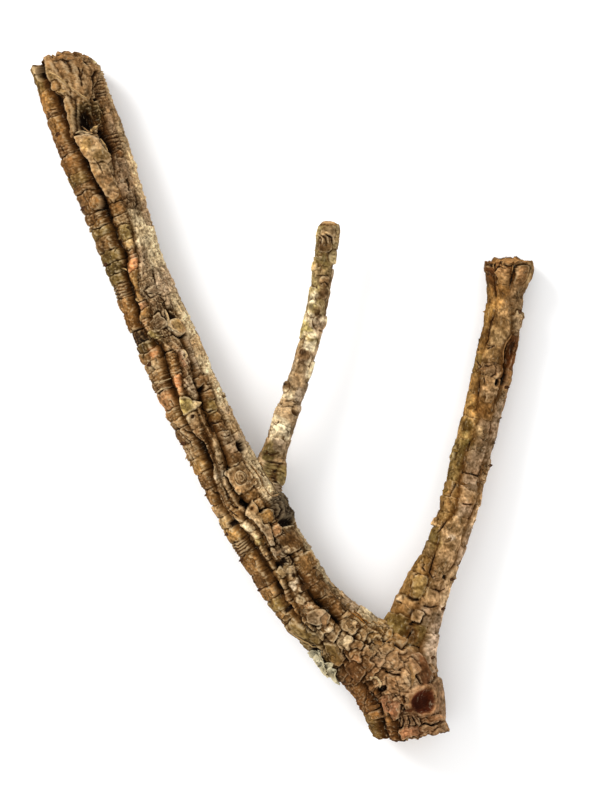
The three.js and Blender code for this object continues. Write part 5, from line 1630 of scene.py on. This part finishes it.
lump(side, 106.5, -181.5, 4, 4, 0, 1.6, "cream", 0, 1.5)
lump(side, 120, -196, 11, 10, 0, 1, "tan", 0, 1.6, 0.3)
pit(side, 117, -213, 13, 8, 15, 1.4, 0, 0.4, "brown")
flare(side, main_path, reach=8, height=2.5)
mottle_and_paint_shading(side, depth=0.6, edges=0.6, blend=0.5, mottled=1.1, rich=0.98)
older = smooth(60, -60, side.y)[..., None]
side.skin *= np.array([0.97, 0.95, 0.91]) + older * (0.11, 0.14, 0.24)
SIDE_TIP = {"left": 2, "right": 2, "upper": 4, "lower": -4, "dish": 1.5, "rough": 1.4, "ragged": 1.6,
            "wood": "ochre"}
HIDDEN_ROOT = {"left": 0, "right": 0, "upper": 0, "lower": 0, "dish": 0, "rough": 0, "ragged": 0,
               "wood": "tan"}
side_bark = bark_mesh(side, "side_limb_bark", SIDE_TIP, HIDDEN_ROOT)
plated_bark = bark_finish("plated_bark", grain_depth=0.6, contrast=0.8)
side_bark.data.materials.append(plated_bark)
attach(side_bark, "root")
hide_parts("side_limb")

# Flakes of the side limb's bark: small loose scraps of the same dry plates, and fine splinters
# at the broken tip. They are thin strips like the main limb's, fewer and smaller.
side_flakes = Flakes(side)
for x, y in ((153, -164), (144, -190), (135, -233), (214, 76), (203, 8), (187, -62)):
    side_flakes.across_face([(x - 3, y), (x, y + 1)], 0.2, 1.4, 3.2, "dark brown")
for x, y in ((156, -48), (146, -84), (137, -118)):
    side_flakes.across_face([(x + 3, y), (x, y - 1)], 0.2, 1.4, 3.4, "olive")
for points in (
        [(201, 126), (198, 119), (200, 114)], [(209, 124), (207, 116), (206, 110)],
        [(190, 122), (191, 115)]):
    side_flakes.across_face(points, 0.6, 1.5, 1.1, "light tan")
side_flakes.across_face([(207, 56), (201, 49), (198, 40), (198, 30)], 0.8, 1.5, 1.3, "tan")
side_flakes.by_chance(60, 14, 0.85 * side_path["length"], spread=85, wide=2.6, long=5.0, seed=33)
side_flakes.piece("side_limb_flakes", plated_bark, "side_limb")

# The twig: a thin shoot with tight grey-olive bark, knotted where its own shoots have died off.
# It grows out of the main limb half way along, through a wrinkled collar.
TWIG_FURROWS = [(-120, 15, 0.5), (-30, 15, 0.3), (60, 15, 0.5), (150, 15, 0.5)]
TWIG_COLUMNS = [20, 28, 28, 16]
TWIG_RINGS = 401
TWIG_RADIUS = 9.3
TWIG_TINTS = ["light tan", "tan", "grey pink", "olive yellow", "light tan"]
twig = Bark(twig_path, TWIG_FURROWS, TWIG_COLUMNS, TWIG_RINGS, TWIG_RADIUS, seed=19)
for strip in range(4):
    crack_across(twig, strip, chance_cracks(twig, strip, 16, 0.3, TWIG_TINTS, 0.15, 0.2))
open_furrows(twig, floor=0.3, shoulder=1.5, ragged=0.6)
twig.paint(EVERYWHERE, np.full(twig.s.shape, 0.3), "light tan")
olive_side = smooth(-0.3, 0.8, -twig.theta - 0.1 + 0.5 * twig.noise(12, 70, 3)) * smooth(30, 80, twig.y)
twig.paint(EVERYWHERE, 0.6 * olive_side, "olive yellow")
grey_side = smooth(0.0, 0.8, twig.theta + 0.4 * twig.noise(10, 71, 3)) * (abs(twig.theta) < 2)
twig.paint(EVERYWHERE, 0.5 * grey_side, "grey tan")
twig.ringed[:] = 0.12 + 0.25 * smooth(0, 0.8, twig.noise(14, 72, 2))
twig.ringed += 0.9 * smooth(-50, -62, twig.y) + 0.5 * smooth(4, -2, twig.y) * smooth(-18, -10, twig.y)
twig.ringed += 0.7 * smooth(150, 142, twig.y) * smooth(127, 134, twig.y)
ring_wrinkles(twig, spacing=2.7, height=0.55)
twig.lift += 0.45 * twig.noise(9, 64, 3) + 0.2 * twig.noise(2.6, 65, 3)
lump(twig, 42, 149, 14, 15, 0, 1.2, "tan", 0.1, 4, 0.9, 0)
lump(twig, 38, 139, 17, 13, 0, 1.4, "brown", 0.12, 4, 0.7, 0)
patch(twig, 35, 137, 9, 6, 0, "dark brown", 0.7)
for wrinkle in (
        [(33, 148), (37, 144), (37, 138)], [(36, 149), (41, 144), (42, 136)],
        [(40, 149), (46, 145), (47, 138)]):
    ridge(twig, wrinkle, 0.7, 1.1, "tan")
    crack(twig, [(x - 1.6, y - 1.2) for x, y in wrinkle], 0.6, 1.4, 0.6)
KNOTS = [  # shoots that have died off: x, y, length, width, rise, tint
    (47, 126, 12, 7, 1.8, None), (28, 118, 9, 6, 2.4, None), (38.5, 103, 9, 10, 1.8, "brown"),
    (28.5, 79, 13, 11, 2, None), (36, 66, 12, 11, 2, None), (20, 38, 11, 10, 1.8, "brown"),
    (2.5, 9.5, 9, 6, 2.6, "brown"), (14, -12, 8, 7, 1.4, None), (5, -36, 8, 5, 1.2, None),
    (1, -68, 20, 10, 2.4, "olive"),
]
for x, y, long, wide, rise, tint in KNOTS:
    lump(twig, x, y, 1.2 * long, 1.1 * wide, 0, 0.75 * rise, tint, 0.1, 5, 1, 0)
ridge(twig, [(33, 103), (37, 107), (43, 106)], 0.7, 0.9, "tan")
crack(twig, [(34, 101), (38, 103), (42, 100)], 0.8, 1.6, 0.7)
# A dark brown patch below this knot, painted as its shadow.
patch(twig, 37, 94, 10, 8, 0, "dark brown", 0.7)
ridge(twig, [(24, 82), (29, 85), (34, 81), (35, 75)], 0.7, 0.8, "light tan")
patch(twig, 31, 77, 8, 5, 0, "brown", 0.6)
patch(twig, 31, 73, 5, 8, 0, "dark brown", 0.6)
patch(twig, 38, 69, 5, 6, 0, "cream", 0.85)
patch(twig, 20, 41, 5, 6, 0, "black", 0.8)
# The grey-brown patch below the knot at x 20 is painted as its shadow.
patch(twig, 20, 31, 7, 10, 0, "grey brown", 0.7)
patch(twig, 0.5, 11.5, 3, 3, 0, "black", 0.9)
patch(twig, 14, -15, 4, 6, 0, "dark brown", 0.6)
TWIG_PATCHES = [  # pale and olive patches of the thin bark: x, y, length, width, tint
    (35, 119, 5, 13, "olive"), (33, 113, 8, 8, "pale gold"), (28, 89, 7, 6, "cream"),
    (24, 72, 7, 7, "cream"), (22, 59, 6, 8, "olive yellow"), (24, 53, 8, 12, "cream"),
    (27, 50, 4, 12, "olive"), (25, 46, 7, 12, "cream"), (26, 25, 12, 5, "cream"), (13, 16, 8, 6, "tan"),
    (4, 3, 6, 7, "cream"), (16, 2, 9, 5, "grey pink"), (-5, -22, 9, 9, "cream"),
    (-1, -30, 14, 14, "cream"), (-6, -34, 8, 8, "cream"), (-10, -48, 12, 12, "olive"),
    (-8, -54, 6, 18, "dark olive"), (-3, -64, 8, 16, "olive"), (-3, -43, 8, 9, "grey tan"),
    (0, -56, 6, 10, "tan"),
]
for x, y, long, wide, tint in TWIG_PATCHES:
    patch(twig, x, y, 1.5 * long, 1.3 * wide, 0, tint, 0.95)
for wrinkle in (
        [(30, 109), (36, 108.5), (42, 109)], [(-9, -22), (-5, -25), (-3, -21)],
        [(3, -28), (6, -31), (5, -36)], [(2, -4), (8, -3), (13, -5)], [(0, -9), (6, -8), (12, -9)],
        [(-16, -48), (-9, -49), (-2, -48)]):
    crack(twig, wrinkle, 0.6, 1, 0.8)
for fold in (
        [(-17, -50), (-8, -51), (-1, -49)], [(-15, -57), (-4, -59), (4, -60)],
        [(-9, -66), (-2, -66), (5, -70)]):
    crack(twig, fold, 0.9, 1.2, 0.35)
    ridge(twig, [(x, y + 2.2) for x, y in fold], 1.3, 0.8)
flare(twig, main_path, reach=7, height=2.0)
twig.skin *= 1.07
mottle_and_paint_shading(twig, depth=0.4, edges=0.8, blend=0.15, mottled=1.0, rich=0.8)
TWIG_TIP = {"left": 3, "right": 1, "upper": 3, "lower": 1, "dish": -1.5, "rough": 0.9, "ragged": 0.8,
            "wood": "tan"}
twig_bark = bark_mesh(twig, "twig_bark", TWIG_TIP, HIDDEN_ROOT)
twig_bark.data.materials.append(bark_finish("tight_bark", grain_depth=0.5, contrast=0.75))
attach(twig_bark, "root")
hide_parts("twig")

# The stage: a plain, nearly white ground, soft light from all round and one broad lamp at the
# upper left. The branch lies down on its ground, so the camera looks straight down on it.
GROUND = (250, 250, 250)
GROUND_REACH = 6.0
SKY_STRENGTH = 1.12
LAMP_PLACE = (-1.9, 1.6, 1.7)
LAMP_SIZE = 1.4
LAMP_POWER = 60
PHOTO_MIDDLE = (0.0162, -0.0027)  # where the middle of the photograph falls on the ground
CAMERA_HEIGHT = 2.4
corners = [(x * GROUND_REACH, y * GROUND_REACH, 0) for x, y in ((-1, -1), (1, -1), (1, 1), (-1, 1))]
ground_mesh = bpy.data.meshes.new("ground")
ground_mesh.from_pydata(corners, [], [(0, 1, 2, 3)])
ground = add_object("ground", ground_mesh)
ground_finish = Finish("pale_ground")
ground_finish.plug(ground_finish.shader.inputs["Base Color"], (*linear(GROUND), 1))
ground_finish.plug(ground_finish.shader.inputs["Roughness"], 0.9)
ground_mesh.materials.append(ground_finish.material)

world = bpy.data.worlds.new("studio")
bpy.context.scene.world = world
world.use_nodes = True
sky = world.node_tree.nodes["Background"]
sky.inputs["Color"].default_value = (1, 1, 1, 1)
sky.inputs["Strength"].default_value = SKY_STRENGTH

light = bpy.data.lights.new("key", "AREA")
light.shape = "DISK"
light.size = LAMP_SIZE
light.energy = LAMP_POWER
lamp = add_object("key", light)
lamp.location = LAMP_PLACE
lamp.rotation_euler = (-Vector(LAMP_PLACE)).to_track_quat("-Z", "Y").to_euler()

camera_data = bpy.data.cameras.new("camera")
camera_data.sensor_width = 36
camera_data.lens = 118.5
camera = add_object("camera", camera_data)
camera.location = (*PHOTO_MIDDLE, CAMERA_HEIGHT)
bpy.context.scene.camera = camera
bpy.context.scene.view_settings.view_transform = "Standard"
